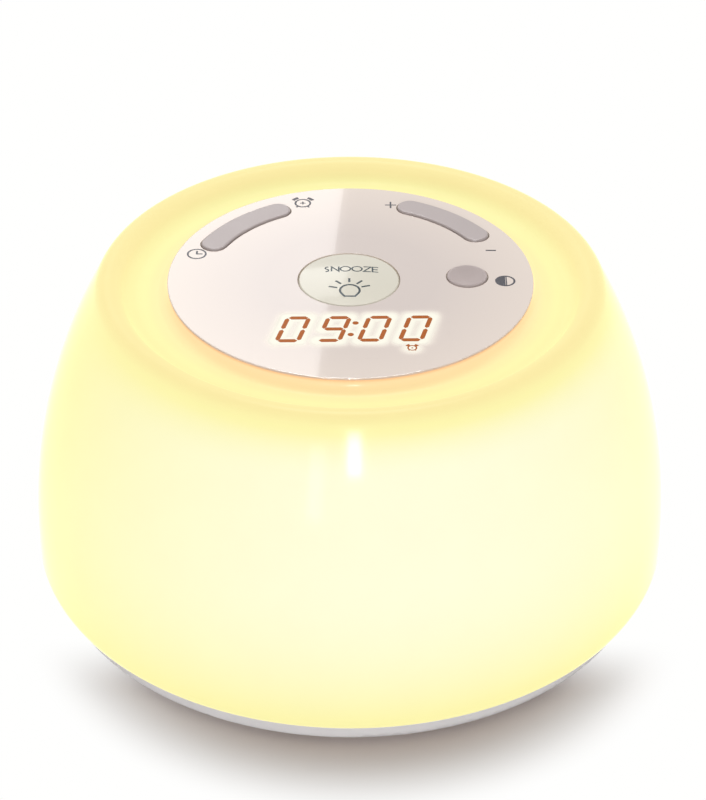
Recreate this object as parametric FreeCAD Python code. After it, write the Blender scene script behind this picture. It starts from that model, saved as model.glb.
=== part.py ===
import FreeCAD, Part

import math
import os

# Sunrise alarm clock, in millimetres. The origin is the middle of the footprint on
# the table, +Z is up and the display faces -Y.

# The shade: a tall dome whose top is sunk into a shallow dish round the controls
panel_top = 89.0
belly_radius = 84.0
belly_top = 17.0
side_curve = 145.0
turn_radius = 5.5
shade_wall = 2.4
crest_rise = 0.8
crest_curve = 4.0
dish_depth = 3.7
dish_curve = 4.0
shade_foot_width = 2.4

# The white base under it
stand_off = 2.2
floor_thick = 2.4
seam_height = 6.8
lip_inset = 4.2
lip_edge = 2.0
ridge_height = 2.2
ridge_width = 2.0
shade_clearance = 0.3

# Screws that hold the shade to the base
base_screw_angles = (20.0, 160.0, 200.0, 340.0)
pillar_radius = 4.0
pillar_gap = 0.8
boss_radius = 3.6
boss_height = 13.0
boss_rib = 1.6
screw_radius = 1.25
screw_head_radius = 2.6
screw_head_height = 1.8
screw_clearance = 0.05
head_clearance = 0.4
counterbore_depth = 3.4

# Rubber feet
foot_radius = 6.0
foot_inset = 7.8
foot_angles = (55.0, 125.0, 235.0, 305.0)
foot_recess = 1.0
foot_clearance = 0.2

# Battery bay for three AAA back-up cells, with its door in the base's underside
cell_radius = 5.25
cell_length = 43.6
nub_length = 0.9
nub_radius = 2.6
cell_pitch = 11.1
cell_count = 3
cell_seat_gap = 0.3
bay_end_space = 2.3
bay_side_space = 0.5
bay_wall = 2.0
bay_centre_y = 22.0
door_overlap = 1.0
door_gap = 0.3
door_seat_gap = 0.2
hinge_pin_radius = 0.6
hinge_pin_length = 1.4
hinge_pin_clearance = 0.05
latch_width = 14.0
latch_length = 7.0
latch_slot = 1.0
contact_thick = 0.4
contact_width = 5.0

# Loudspeaker in the base, facing down through a slotted grille
speaker_radius = 20.0
speaker_y = -34.0
speaker_flange = 3.0
speaker_rim = 1.3
gasket_thick = 0.8
basket_height = 5.4
magnet_radius = 9.5
magnet_height = 4.6
speaker_wall = 1.6
speaker_clearance = 0.4
grille_slot = 1.8
grille_pitch = 3.6
grille_count = 7
grille_radius = 14.0

# Power inlet at the back
jack_width = 9.4
jack_height = 10.6
jack_length = 13.0
jack_centre_z = 14.6
jack_nose_radius = 4.0
jack_nose_recess = 0.4
jack_bore_radius = 3.15
jack_bore_depth = 9.5
jack_pin_radius = 1.0
jack_hole_clearance = 0.3
jack_cradle_wall = 1.6
jack_wall_gap = 0.5

# Lamp board over the base, with its lights, chips and capacitors
board_inlet_gap = 7.0
lamp_board_z = 18.6
board_thick = 1.6
lamp_post_inset = 6.0
lamp_post_angles = (45.0, 135.0, 225.0, 315.0)
post_radius = 3.0
board_screw_radius = 1.0
board_screw_head = 2.1
board_screw_length = 9.0
led_side = 5.0
led_height = 1.6
led_lens = 3.6
led_inset = 12.0
led_inner_ring = 22.0
led_counts = (12, 6)
chip_size = (10.0, 6.0, 1.7)
chip_inset = 18.0
chip_rows = (4.0, -10.0)
capacitor_radius = 4.0
capacitor_height = 9.0
capacitor_inset = 16.0
capacitor_rows = (6.0, -8.0)

# Control panel: the glossy disc, its collar on the shade and its tray underneath
panel_radius = 47.0
panel_thick = 1.4
panel_edge_round = 0.3
panel_lip = 0.5
panel_overhang = 0.1
collar_bore = 45.4
tray_gap = 0.3
tray_wall = 1.2
tray_floor = 1.6
tray_depth = 13.1
tray_flange = 5.2
tray_flange_thick = 1.6
tray_screw_ring = 40.0
tray_screw_angles = (90.0, 195.0, 345.0)
tray_boss_radius = 2.6
tray_post_height = 2.4
board_edge_gap = 0.5

# Switches under the keys
switch_side = 6.0
switch_height = 3.5
plunger_radius = 1.7
plunger_stand = 1.4
plunger_depth = 1.1
plunger_clearance = 0.2
plunger_space = 0.6

# Keys
key_gap = 0.3
key_wall = 1.2
key_flange = 1.4
key_flange_thick = 1.1
stem_radius = 2.4
snooze_place = (-0.4, -0.6)
snooze_radius = 12.9
snooze_dome = 0.9
guide_depth = 2.0
guide_wall = 1.3
dimmer_place = (30.0, 0.9)
dimmer_radius = 5.2
dimmer_rise = 0.5
dimmer_dish = 0.7
rocker_ring = 39.5
rocker_width = 6.8
rocker_rise = 0.55
rocker_round = 0.5
rocker_skirt_width = 4.8
rocker_cap_lift = 0.1
rocker_skirt_depth = 4.6
rocker_pivot_drop = 2.4
rocker_switch_angle = 16.0
trunnion_radius = 1.0
trunnion_clearance = 0.05
ear_thick = 1.4
ear_half_width = 2.2
ear_gap = 0.3
left_rocker = (119.5, 154.5)
right_rocker = (33.7, 66.3)

# Display: four seven-segment figures and a colon
display_place = (0.4, -24.2)
display_size = (46.0, 17.0)
digit_height = 12.0
digit_width = 6.4
digit_slant = 2.8
digit_pitch = 10.2
digit_left = -19.1
digit_foot = -30.3
segment_width = 1.3
segment_gap = 0.18
segment_depth = 0.4
filter_thick = 0.3
colon_places = ((1.3, -21.6), (0.1, -27.0))
colon_radius = 0.75

# Ribbon between the two boards, and the loose leads to the inlet and loudspeaker
ribbon_width = 12.0
ribbon_thick = 0.6
ribbon_bend = 9.0
connector_length = 15.0
connector_width = 4.4
connector_height = 4.4
upper_connector_y = 14.0
lower_connector_y = -2.0
slot_margin = 0.8
lead_radius = 0.65
lead_spacing = 5.0
lead_bend = 2.6

# Heights and radii that follow from the sizes above
floor_top = stand_off + floor_thick
foot_top = stand_off + foot_recess
pillar_top = seam_height + ridge_height + door_seat_gap
dish_floor = panel_top - dish_depth
dish_under = dish_floor - shade_wall
panel_under = panel_top - panel_thick
collar_top = panel_top - panel_lip
plug_radius = collar_bore - tray_gap
shade_seam_radius = belly_radius - turn_radius
turn_z = seam_height + turn_radius
lip_radius = belly_radius - lip_inset
ridge_outer = shade_seam_radius - shade_foot_width - shade_clearance
ridge_inner = ridge_outer - ridge_width
base_screw_ring = ridge_inner - pillar_gap - pillar_radius
foot_ring = lip_radius - foot_inset - foot_radius
tray_outer = plug_radius
tray_inner = tray_outer - tray_wall
tray_floor_top = panel_under - tray_depth
control_board_z = tray_floor_top + tray_post_height
control_board_top = control_board_z + board_thick
switch_top = control_board_top + switch_height
plunger_top = switch_top + plunger_stand
pivot_z = panel_under - rocker_pivot_drop
rocker_cap_low = panel_under + rocker_cap_lift
lamp_board_top = lamp_board_z + board_thick
cell_z = floor_top + cell_seat_gap + cell_radius
bay_roof = cell_z + cell_radius + cell_seat_gap
bay_half_x = (cell_length + nub_length) / 2 + bay_end_space + contact_thick
bay_half_y = cell_pitch * (cell_count - 1) / 2 + cell_radius + bay_side_space
door_thick = floor_thick - door_seat_gap
door_half_x = bay_half_x + door_overlap - door_gap
hinge_radius = door_thick / 2
hinge_y = bay_centre_y - bay_half_y - door_overlap + door_gap + hinge_radius
hinge_z = stand_off + hinge_radius
jack_bottom = jack_centre_z - jack_height / 2
jack_front = shade_seam_radius - jack_wall_gap
jack_back = jack_front - jack_length
lamp_board_radius = jack_back - board_inlet_gap
lamp_post_ring = lamp_board_radius - lamp_post_inset
led_rings = (lamp_board_radius - led_inset, led_inner_ring)

ORIGIN = FreeCAD.Vector(0, 0, 0)
UP = FreeCAD.Vector(0, 0, 1)


def on_ring(radius, angle, z=0.0):
    """The point at a radius and an angle about the vertical axis."""
    turn = math.radians(angle)
    return FreeCAD.Vector(radius * math.cos(turn), radius * math.sin(turn), z)


def rod(x, y, low, high, radius):
    """An upright cylinder between two heights."""
    return Part.makeCylinder(radius, high - low, FreeCAD.Vector(x, y, low))


def rods_on_ring(ring, angles, low, high, radius):
    """The same upright cylinder at each angle of a ring."""
    points = [on_ring(ring, angle) for angle in angles]
    return [rod(p.x, p.y, low, high, radius) for p in points]


def block(x0, x1, y0, y1, z0, z1):
    """A box between two corners."""
    return Part.makeBox(x1 - x0, y1 - y0, z1 - z0, FreeCAD.Vector(x0, y0, z0))


def centred_block(x, y, size_x, size_y, low, high):
    """A box centred on a point of the plan."""
    return block(x - size_x / 2, x + size_x / 2, y - size_y / 2, y + size_y / 2, low, high)


def turned(shape, angle, centre=ORIGIN):
    """A copy turned about an upright line."""
    copy = shape.copy()
    copy.rotate(centre, UP, angle)
    return copy


def polygon(points):
    """A face bounded by straight edges."""
    return Part.Face(Part.makePolygon(points + points[:1]))


class Outline:
    """A closed outline drawn as radius and height, for turning about the vertical axis."""

    def __init__(self, radius, height):
        self.first = FreeCAD.Vector(radius, 0, height)
        self.last = self.first
        self.edges = []

    def line(self, radius, height):
        """A straight edge to a point, left out where the pen is already there."""
        end = FreeCAD.Vector(radius, 0, height)
        if end.distanceToPoint(self.last) > 1e-6:
            self.edges.append(Part.LineSegment(self.last, end).toShape())
            self.last = end
        return self

    def arc(self, centre, radius, start, end):
        """A round stretch about a centre, between two angles in the plane of the outline."""
        points = []
        for angle in (start, (start + end) / 2, end):
            turn = math.radians(angle)
            points.append((centre[0] + radius * math.cos(turn), centre[1] + radius * math.sin(turn)))
        self.line(*points[0])
        middle = FreeCAD.Vector(points[1][0], 0, points[1][1])
        finish = FreeCAD.Vector(points[2][0], 0, points[2][1])
        self.edges.append(Part.Arc(self.last, middle, finish).toShape())
        self.last = finish
        return self

    def crown(self, rise):
        """A shallow crown, or a dish where the rise is negative, from here to the axis."""
        half = self.last.x
        height = self.last.z + rise
        ball = (half ** 2 + rise ** 2) / (2 * abs(rise))
        lean = math.degrees(math.asin(half / ball))
        if rise > 0:
            return self.arc((0, height - ball), ball, 90 - lean, 90)
        return self.arc((0, height + ball), ball, lean - 90, -90)

    def spin(self):
        """The solid swept by the outline in one full turn."""
        self.line(self.first.x, self.first.z)
        return Part.Face(Part.Wire(self.edges)).revolve(ORIGIN, UP, 360)


def arc_band(ring, width, start, end, low, high):
    """A band that follows a ring between two angles, with round ends."""
    inner = ring - width / 2
    outer = ring + width / 2
    middle = (start + end) / 2
    cap = math.degrees(width / 2 / ring)
    edges = [
        Part.Arc(on_ring(outer, start, low), on_ring(outer, middle, low), on_ring(outer, end, low)),
        Part.Arc(on_ring(outer, end, low), on_ring(ring, end + cap, low), on_ring(inner, end, low)),
        Part.Arc(on_ring(inner, end, low), on_ring(inner, middle, low), on_ring(inner, start, low)),
        Part.Arc(on_ring(inner, start, low), on_ring(ring, start - cap, low), on_ring(outer, start, low)),
    ]
    face = Part.Face(Part.Wire([edge.toShape() for edge in edges]))
    return face.extrude(FreeCAD.Vector(0, 0, high - low))


def rounded_path(points, bend):
    """Straight runs joined by tangent arcs."""
    edges = []
    here = points[0]
    for corner, after in zip(points[1:-1], points[2:]):
        back = (here - corner).normalize()
        ahead = (after - corner).normalize()
        half = back.getAngle(ahead) / 2
        reach = bend / math.tan(half)
        start = corner + back * reach
        end = corner + ahead * reach
        inward = (back + ahead).normalize()
        middle = corner + inward * (bend / math.sin(half) - bend)
        edges.append(Part.LineSegment(here, start).toShape())
        edges.append(Part.Arc(start, middle, end).toShape())
        here = end
    edges.append(Part.LineSegment(here, points[-1]).toShape())
    return Part.Wire(edges)


def tube(points, bend, radius):
    """A thin lead along a path, six-sided to keep its faces few."""
    along = (points[1] - points[0]).normalize()
    spin = FreeCAD.Rotation(UP, along)
    ring = [points[0] + spin.multVec(on_ring(radius, 60 * step)) for step in range(7)]
    return rounded_path(points, bend).makePipeShell([Part.makePolygon(ring)], True, False)


def screw(x, y, head_low, head_radius, head_height, length, radius):
    """A screw that points up: a round head and a plain shank."""
    head = rod(x, y, head_low, head_low + head_height, head_radius)
    return head.fuse(rod(x, y, head_low + head_height, head_low + head_height + length, radius))


def shade_outside():
    """The dome's outer form: tucked foot, long side curve, rolled crest, dish and flared collar."""
    crest_z = panel_top + crest_rise - crest_curve
    reach = math.sqrt((side_curve - crest_curve) ** 2 - (crest_z - belly_top) ** 2)
    crest_r = belly_radius - side_curve + reach
    lean = math.degrees(math.atan2(crest_z - belly_top, reach))
    hollow_z = dish_floor + dish_curve
    span = dish_curve + crest_curve
    slope = math.degrees(math.asin((hollow_z - crest_z) / span))
    hollow_r = crest_r - span * math.cos(math.radians(slope))
    flare = collar_top - dish_floor
    flare_r = panel_radius - panel_overhang + flare
    outline = Outline(shade_seam_radius, seam_height)
    outline.arc((shade_seam_radius, turn_z), turn_radius, -90, 0)
    outline.arc((belly_radius - side_curve, belly_top), side_curve, 0, lean)
    outline.arc((crest_r, crest_z), crest_curve, lean, 180 - slope)
    outline.arc((hollow_r, hollow_z), dish_curve, -slope, -90)
    outline.arc((flare_r, collar_top), flare, -90, -180)
    return outline.line(0, collar_top).line(0, seam_height).spin()


def shade_inside():
    """The hollow of the dome, one wall inside its outer form."""
    inner_curve = side_curve - shade_wall
    crest_in = panel_top + crest_rise - crest_curve
    lean = math.degrees(math.asin((crest_in - belly_top) / inner_curve))
    crest_r = belly_radius - side_curve + inner_curve * math.cos(math.radians(lean))
    foot = seam_height + shade_wall
    outline = Outline(shade_seam_radius, foot)
    outline.arc((shade_seam_radius, turn_z), turn_radius - shade_wall, -90, 0)
    outline.arc((belly_radius - side_curve, belly_top), inner_curve, 0, lean)
    outline.line(crest_r - shade_wall, crest_in + shade_wall / 4)
    outline.line(crest_r - shade_wall - (crest_in - dish_under), dish_under)
    return outline.line(0, dish_under).line(0, foot).spin()


def make_shade():
    """The translucent dome: wall, crest, dish and collar in one moulding, with screw bosses."""
    shade = shade_outside().cut(shade_inside())
    foot_inner = shade_seam_radius - shade_foot_width
    shade = shade.cut(rod(0, 0, seam_height, seam_height + shade_wall, foot_inner))
    shade = shade.cut(rod(0, 0, dish_under, collar_top, collar_bore))
    boss_bottom = pillar_top
    boss_top = boss_bottom + boss_height
    rib_reach = belly_radius - shade_wall / 2
    for angle in base_screw_angles:
        place = on_ring(base_screw_ring, angle)
        rib = block(base_screw_ring, rib_reach, -boss_rib / 2, boss_rib / 2, boss_bottom, boss_top)
        boss = rod(place.x, place.y, boss_bottom, boss_top, boss_radius)
        shade = shade.fuse(boss.fuse(turned(rib, angle)))
        bore = rod(place.x, place.y, boss_bottom, boss_top - boss_rib, screw_radius + screw_clearance)
        shade = shade.cut(bore)
    nose_hole = Part.makeCylinder(
        jack_nose_radius + jack_hole_clearance,
        belly_radius + shade_wall - jack_front,
        FreeCAD.Vector(0, belly_radius + shade_wall, jack_centre_z),
        FreeCAD.Vector(0, -1, 0),
    )
    return shade.cut(nose_hole).removeSplitter()


def base_pan():
    """The plain turned pan: floor, rounded lip and the ridge that centres the shade."""
    pan = Outline(0, stand_off)
    pan.arc((lip_radius - lip_edge, stand_off + lip_edge), lip_edge, -90, 0)
    pan.line(lip_radius, seam_height)
    pan.line(ridge_outer, seam_height)
    pan.line(ridge_outer, seam_height + ridge_height)
    pan.line(ridge_inner, seam_height + ridge_height)
    pan.line(ridge_inner, floor_top)
    pan.line(0, floor_top)
    return pan.spin()


def battery_box(base):
    """Adds the battery bay and cuts its opening and the door's recess."""
    low_y = bay_centre_y - bay_half_y
    high_y = bay_centre_y + bay_half_y
    out = bay_wall
    over = door_overlap
    base = base.fuse(block(-bay_half_x - out, bay_half_x + out, low_y - out, high_y + out,
                           floor_top, bay_roof + bay_wall))
    base = base.cut(block(-bay_half_x, bay_half_x, low_y, high_y, stand_off, bay_roof))
    base = base.cut(block(-bay_half_x - over, bay_half_x + over, low_y - over, high_y + over,
                          stand_off, floor_top))
    pin_reach = door_half_x + hinge_pin_length + door_gap
    pin_hole = Part.makeCylinder(
        hinge_pin_radius + hinge_pin_clearance,
        2 * pin_reach,
        FreeCAD.Vector(-pin_reach, hinge_y, hinge_z),
        FreeCAD.Vector(1, 0, 0),
    )
    return base.cut(pin_hole)


def grille_slots():
    """Rounded slots that fill a circle under the loudspeaker."""
    slots = []
    half = grille_slot / 2
    for index in range(grille_count):
        offset = (index - (grille_count - 1) / 2) * grille_pitch
        reach = math.sqrt(grille_radius ** 2 - offset ** 2) - half
        y = speaker_y + offset
        slot = block(-reach, reach, y - half, y + half, stand_off, floor_top)
        for x in (-reach, reach):
            slot = slot.fuse(rod(x, y, stand_off, floor_top, half))
        slots.append(slot)
    return slots


def jack_cradle():
    """The pocket on the base that carries the power inlet, open towards the back."""
    half = jack_width / 2 + screw_clearance + jack_cradle_wall
    front = ridge_inner + ridge_width / 2
    cradle = block(-half, half, jack_back - jack_cradle_wall, front, floor_top, jack_centre_z)
    pocket = block(-jack_width / 2 - screw_clearance, jack_width / 2 + screw_clearance,
                   jack_back - screw_clearance, front, jack_bottom, jack_centre_z)
    gap = block(-lead_spacing, lead_spacing, jack_back - jack_cradle_wall, jack_back,
                jack_bottom + jack_cradle_wall, jack_centre_z)
    return cradle.cut(pocket).cut(gap)


def make_base():
    """The white base shell with its pillars, posts, battery bay, grille and inlet cradle."""
    base = base_pan()
    base = base.fuse(rods_on_ring(base_screw_ring, base_screw_angles, floor_top, pillar_top, pillar_radius))
    base = base.fuse(rods_on_ring(lamp_post_ring, lamp_post_angles, floor_top, lamp_board_z, post_radius))
    seat_inner = speaker_radius + speaker_clearance
    seat_height = floor_top + gasket_thick + speaker_rim + 2 * speaker_wall
    seat = rod(0, speaker_y, floor_top, seat_height, seat_inner + speaker_wall)
    base = base.fuse(seat.cut(rod(0, speaker_y, floor_top, seat_height, seat_inner)))
    base = base.fuse(jack_cradle())
    base = battery_box(base)
    notch_half = jack_width / 2 + screw_clearance
    base = base.cut(block(-notch_half, notch_half, jack_back, belly_radius,
                          jack_bottom, jack_centre_z + jack_height / 2))
    hole = screw_radius + screw_clearance
    recess = screw_head_radius + head_clearance
    cuts = rods_on_ring(base_screw_ring, base_screw_angles, stand_off, pillar_top, hole)
    cuts += rods_on_ring(base_screw_ring, base_screw_angles, stand_off, stand_off + counterbore_depth, recess)
    cuts += rods_on_ring(foot_ring, foot_angles, stand_off, foot_top, foot_radius + foot_clearance)
    cuts += rods_on_ring(lamp_post_ring, lamp_post_angles, lamp_board_z - board_screw_length - screw_clearance,
                         lamp_board_z, board_screw_radius + screw_clearance)
    return base.cut(cuts + grille_slots()).removeSplitter()


def make_feet():
    """Four rubber feet with bevelled edges, seated in their recesses."""
    foot = Outline(0, 0)
    foot.line(foot_radius - foot_recess, 0)
    foot.line(foot_radius, foot_recess)
    foot.line(foot_radius, foot_top)
    foot.line(0, foot_top)
    pad = foot.spin()
    feet = []
    for angle in foot_angles:
        copy = pad.copy()
        copy.translate(on_ring(foot_ring, angle))
        feet.append(copy)
    return Part.makeCompound(feet)


def make_base_screws():
    """Four screws from under the base into the shade's bosses."""
    head_low = stand_off + counterbore_depth - screw_head_height
    length = pillar_top + boss_height - 2 * boss_rib - head_low - screw_head_height
    places = [on_ring(base_screw_ring, angle) for angle in base_screw_angles]
    return Part.makeCompound([
        screw(p.x, p.y, head_low, screw_head_radius, screw_head_height, length, screw_radius) for p in places
    ])


def make_door():
    """The battery door: ribbed plate, rounded hinge edge with two pins, and a sprung latch tongue."""
    door_end = bay_centre_y + bay_half_y + door_overlap - door_gap
    door_top = stand_off + door_thick
    plate = block(-door_half_x, door_half_x, hinge_y, door_end, stand_off, door_top)
    along = FreeCAD.Vector(1, 0, 0)
    edge = Part.makeCylinder(hinge_radius, 2 * door_half_x, FreeCAD.Vector(-door_half_x, hinge_y, hinge_z), along)
    pin_reach = door_half_x + hinge_pin_length
    pins = Part.makeCylinder(hinge_pin_radius, 2 * pin_reach, FreeCAD.Vector(-pin_reach, hinge_y, hinge_z), along)
    door = plate.fuse(edge).fuse(pins)
    slot_low = door_end - latch_length
    for side in (-1, 1):
        x = side * latch_width / 2
        door = door.cut(centred_block(x, slot_low + latch_length / 2, latch_slot, latch_length,
                                      stand_off, door_top))
    groove = centred_block(0, slot_low + latch_length / 2, latch_width - 2 * latch_slot, latch_slot,
                           stand_off, stand_off + door_thick / 3)
    for step in (-2, 0, 2):
        copy = groove.copy()
        copy.translate(FreeCAD.Vector(0, step * latch_slot, 0))
        door = door.cut(copy)
    return door.removeSplitter()


def make_cells():
    """Three cells side by side, turned end for end in turn."""
    cells = []
    body_low = -(cell_length + nub_length) / 2
    for index in range(cell_count):
        cell = Outline(0, body_low)
        cell.line(cell_radius - bay_side_space, body_low)
        cell.line(cell_radius, body_low + bay_side_space)
        cell.line(cell_radius, body_low + cell_length - bay_side_space)
        cell.line(cell_radius - bay_side_space, body_low + cell_length)
        cell.line(nub_radius, body_low + cell_length)
        cell.line(nub_radius, body_low + cell_length + nub_length)
        cell.line(0, body_low + cell_length + nub_length)
        solid = cell.spin()
        solid.rotate(ORIGIN, FreeCAD.Vector(0, 1, 0), 90 if index % 2 else -90)
        y = bay_centre_y + (index - (cell_count - 1) / 2) * cell_pitch
        solid.translate(FreeCAD.Vector(0, y, cell_z))
        cells.append(solid)
    return Part.makeCompound(cells)


def contact_leaf(side, y):
    """A bent leaf from the plate to the end of one cell."""
    foot = bay_half_x - contact_thick
    tip = (cell_length + nub_length) / 2
    rise = foot - tip
    outline = [(0, -rise), (-rise, -contact_thick), (-rise, contact_thick), (0, rise)]
    inset = [(0, rise - contact_thick * 1.4), (contact_thick - rise, contact_thick * 0.6),
             (contact_thick - rise, -contact_thick * 0.6), (0, contact_thick * 1.4 - rise)]
    points = [FreeCAD.Vector(side * (foot + dx), y - contact_width / 2, cell_z + dz) for dx, dz in outline + inset]
    return polygon(points).extrude(FreeCAD.Vector(0, contact_width, 0))


def make_contacts():
    """Pressed contact plates: two that bridge neighbouring cells and two single ones."""
    places = [bay_centre_y + (index - (cell_count - 1) / 2) * cell_pitch for index in range(cell_count)]
    groups = ((1, places[:2]), (1, places[2:]), (-1, places[:1]), (-1, places[1:]))
    plates = []
    for side, cells in groups:
        inner = side * (bay_half_x - contact_thick)
        outer = side * bay_half_x
        plate = block(min(inner, outer), max(inner, outer), cells[0] - contact_width / 2,
                      cells[-1] + contact_width / 2, cell_z - contact_width * 0.8, cell_z + contact_width * 0.8)
        for y in cells:
            plate = plate.fuse(contact_leaf(side, y))
        plates.append(plate.removeSplitter())
    return Part.makeCompound(plates)


def speaker_levels():
    """Heights of the loudspeaker's flange bottom, flange top and basket top."""
    low = floor_top + gasket_thick
    return low, low + speaker_rim, low + speaker_rim + basket_height


def at_speaker(shape):
    """Moves a turned piece to the loudspeaker's place."""
    shape.translate(FreeCAD.Vector(0, speaker_y, 0))
    return shape


def make_speaker_gasket():
    """The foam ring between the base and the loudspeaker."""
    ring = rod(0, 0, floor_top, floor_top + gasket_thick, speaker_radius)
    return at_speaker(ring.cut(rod(0, 0, floor_top, floor_top + gasket_thick, speaker_radius - speaker_flange)))


def make_speaker_basket():
    """The pressed basket: flange, sloping wall with four windows, and a terminal tab."""
    low, rim, top = speaker_levels()
    inner = speaker_radius - speaker_flange
    wall = speaker_rim
    basket = Outline(inner, low)
    basket.line(speaker_radius, low)
    basket.line(speaker_radius, rim)
    basket.line(inner + wall, rim)
    basket.line(magnet_radius + wall, top)
    basket.line(magnet_radius / 2, top)
    basket.line(magnet_radius / 2, top - wall)
    basket.line(magnet_radius, top - wall)
    basket.line(inner, rim - wall / 2)
    solid = basket.spin()
    mid = (inner + magnet_radius) / 2
    for index in range(4):
        window = centred_block(mid + wall / 2, 0, inner - magnet_radius - wall, magnet_radius, rim + wall, top - wall)
        solid = solid.cut(turned(window, 45 + 90 * index))
    tab = centred_block(0, speaker_radius - speaker_flange / 2, 2 * lead_spacing, wall, rim, rim + 2 * wall)
    return at_speaker(solid.fuse(tab).removeSplitter())


def make_speaker_cone():
    """The paper cone with its rolled edge and dust cap."""
    low, rim, top = speaker_levels()
    edge = speaker_radius - speaker_flange - screw_clearance
    skin = gasket_thick / 2
    foot = low
    coil = magnet_radius / 2
    deep = top - 2 * speaker_rim
    cone = Outline(edge, foot)
    cone.line(edge, foot + skin)
    cone.line(edge - speaker_flange / 2, foot + skin)
    cone.line(coil, deep)
    cone.line(0, deep)
    cone.line(0, deep - 2 * skin)
    cone.line(coil, deep - 3 * skin)
    cone.line(edge - speaker_flange / 2 - skin, foot)
    return at_speaker(cone.spin())


def make_speaker_magnet():
    """The magnet and its cover plate on the back of the basket."""
    top = speaker_levels()[2]
    body = rod(0, 0, top, top + magnet_height, magnet_radius)
    plate_edge = speaker_rim / 2
    groove = rod(0, 0, top + speaker_rim, top + speaker_rim + plate_edge, magnet_radius)
    groove = groove.cut(rod(0, 0, top + speaker_rim, top + speaker_rim + plate_edge, magnet_radius - plate_edge))
    return at_speaker(body.cut(groove))


def make_jack():
    """The power inlet: block, nose, round bore and centre pin."""
    toward = FreeCAD.Vector(0, 1, 0)
    nose_end = belly_radius - jack_nose_recess
    body = block(-jack_width / 2, jack_width / 2, jack_back, jack_front, jack_bottom, jack_bottom + jack_height)
    start = FreeCAD.Vector(0, jack_front, jack_centre_z)
    body = body.fuse(Part.makeCylinder(jack_nose_radius, nose_end - jack_front, start, toward))
    floor = FreeCAD.Vector(0, nose_end - jack_bore_depth, jack_centre_z)
    body = body.cut(Part.makeCylinder(jack_bore_radius, jack_bore_depth, floor, toward))
    pin = Part.makeCylinder(jack_pin_radius, jack_bore_depth - 2 * jack_wall_gap, floor, toward)
    return body.fuse(pin).removeSplitter()


def make_lamp_board():
    """The round board that carries the lights."""
    board = rod(0, 0, lamp_board_z, lamp_board_top, lamp_board_radius)
    holes = rods_on_ring(lamp_post_ring, lamp_post_angles, lamp_board_z, lamp_board_top,
                         board_screw_radius + screw_clearance)
    return board.cut(holes)


def make_board_screws():
    """Four screws that point down through the lamp board into its posts."""
    screws = []
    for angle in lamp_post_angles:
        place = on_ring(lamp_post_ring, angle)
        top = lamp_board_top + screw_head_height
        part = screw(0, 0, -top, board_screw_head, screw_head_height, board_screw_length, board_screw_radius)
        part.rotate(ORIGIN, FreeCAD.Vector(1, 0, 0), 180)
        part.translate(place)
        screws.append(part)
    return Part.makeCompound(screws)


def make_lamp_leds():
    """Two rings of square lights, each with its lens hollow."""
    leds = []
    for ring, count in zip(led_rings, led_counts):
        for index in range(count):
            led = centred_block(ring, 0, led_side, led_side, lamp_board_top, lamp_board_top + led_height)
            lens = centred_block(ring, 0, led_lens, led_lens, lamp_board_top + led_height / 2, lamp_board_top
                                 + led_height)
            leds.append(turned(led.cut(lens), 15 + 360 * index / count))
    return Part.makeCompound(leds)


def make_board_chips():
    """The driver and sound chips under the lamp board."""
    length, width, height = chip_size
    x = lamp_board_radius - chip_inset
    return Part.makeCompound([
        centred_block(x, y, length, width, lamp_board_z - height, lamp_board_z) for y in chip_rows
    ])


def make_capacitors():
    """Upright capacitors under the lamp board."""
    x = capacitor_inset - lamp_board_radius
    return Part.makeCompound([
        rod(x, y, lamp_board_z - capacitor_height, lamp_board_z, capacitor_radius) for y in capacitor_rows
    ])


def make_tray():
    """The cup under the panel: its flange grips the shade's collar from below."""
    tray = Outline(0, tray_floor_top - tray_floor)
    tray.line(tray_outer, tray_floor_top - tray_floor)
    tray.line(tray_outer, dish_under - tray_flange_thick)
    tray.line(tray_outer + tray_flange, dish_under - tray_flange_thick)
    tray.line(tray_outer + tray_flange, dish_under)
    tray.line(tray_outer, dish_under)
    tray.line(tray_outer, panel_under)
    tray.line(tray_inner, panel_under)
    tray.line(tray_inner, tray_floor_top)
    tray.line(0, tray_floor_top)
    cup = tray.spin()
    cup = cup.fuse(rods_on_ring(tray_screw_ring, tray_screw_angles, tray_floor_top, control_board_z,
                                tray_boss_radius))
    cup = cup.cut(rods_on_ring(tray_screw_ring, tray_screw_angles, tray_floor_top - tray_floor,
                               control_board_z, screw_radius + screw_clearance))
    slot = centred_block(0, upper_connector_y, connector_length + 2 * slot_margin,
                         connector_width + 2 * slot_margin, tray_floor_top - tray_floor, tray_floor_top)
    return cup.cut(slot).removeSplitter()


def make_tray_screws():
    """Three screws that pull the tray and the control board up to the panel."""
    head_low = tray_floor_top - tray_floor - screw_head_height
    length = panel_under - 2 * tray_floor - head_low - screw_head_height
    places = [on_ring(tray_screw_ring, angle) for angle in tray_screw_angles]
    return Part.makeCompound([
        screw(p.x, p.y, head_low, screw_head_radius, screw_head_height, length, screw_radius) for p in places
    ])


def rocker_middle(span):
    """The angle of a rocker's pivot."""
    return (span[0] + span[1]) / 2


def pivot_rod(angle, inner, outer, radius):
    """A rod along a rocker's pivot line between two radii."""
    start = on_ring(inner, angle, pivot_z)
    return Part.makeCylinder(radius, outer - inner, start, on_ring(1, angle))


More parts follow.
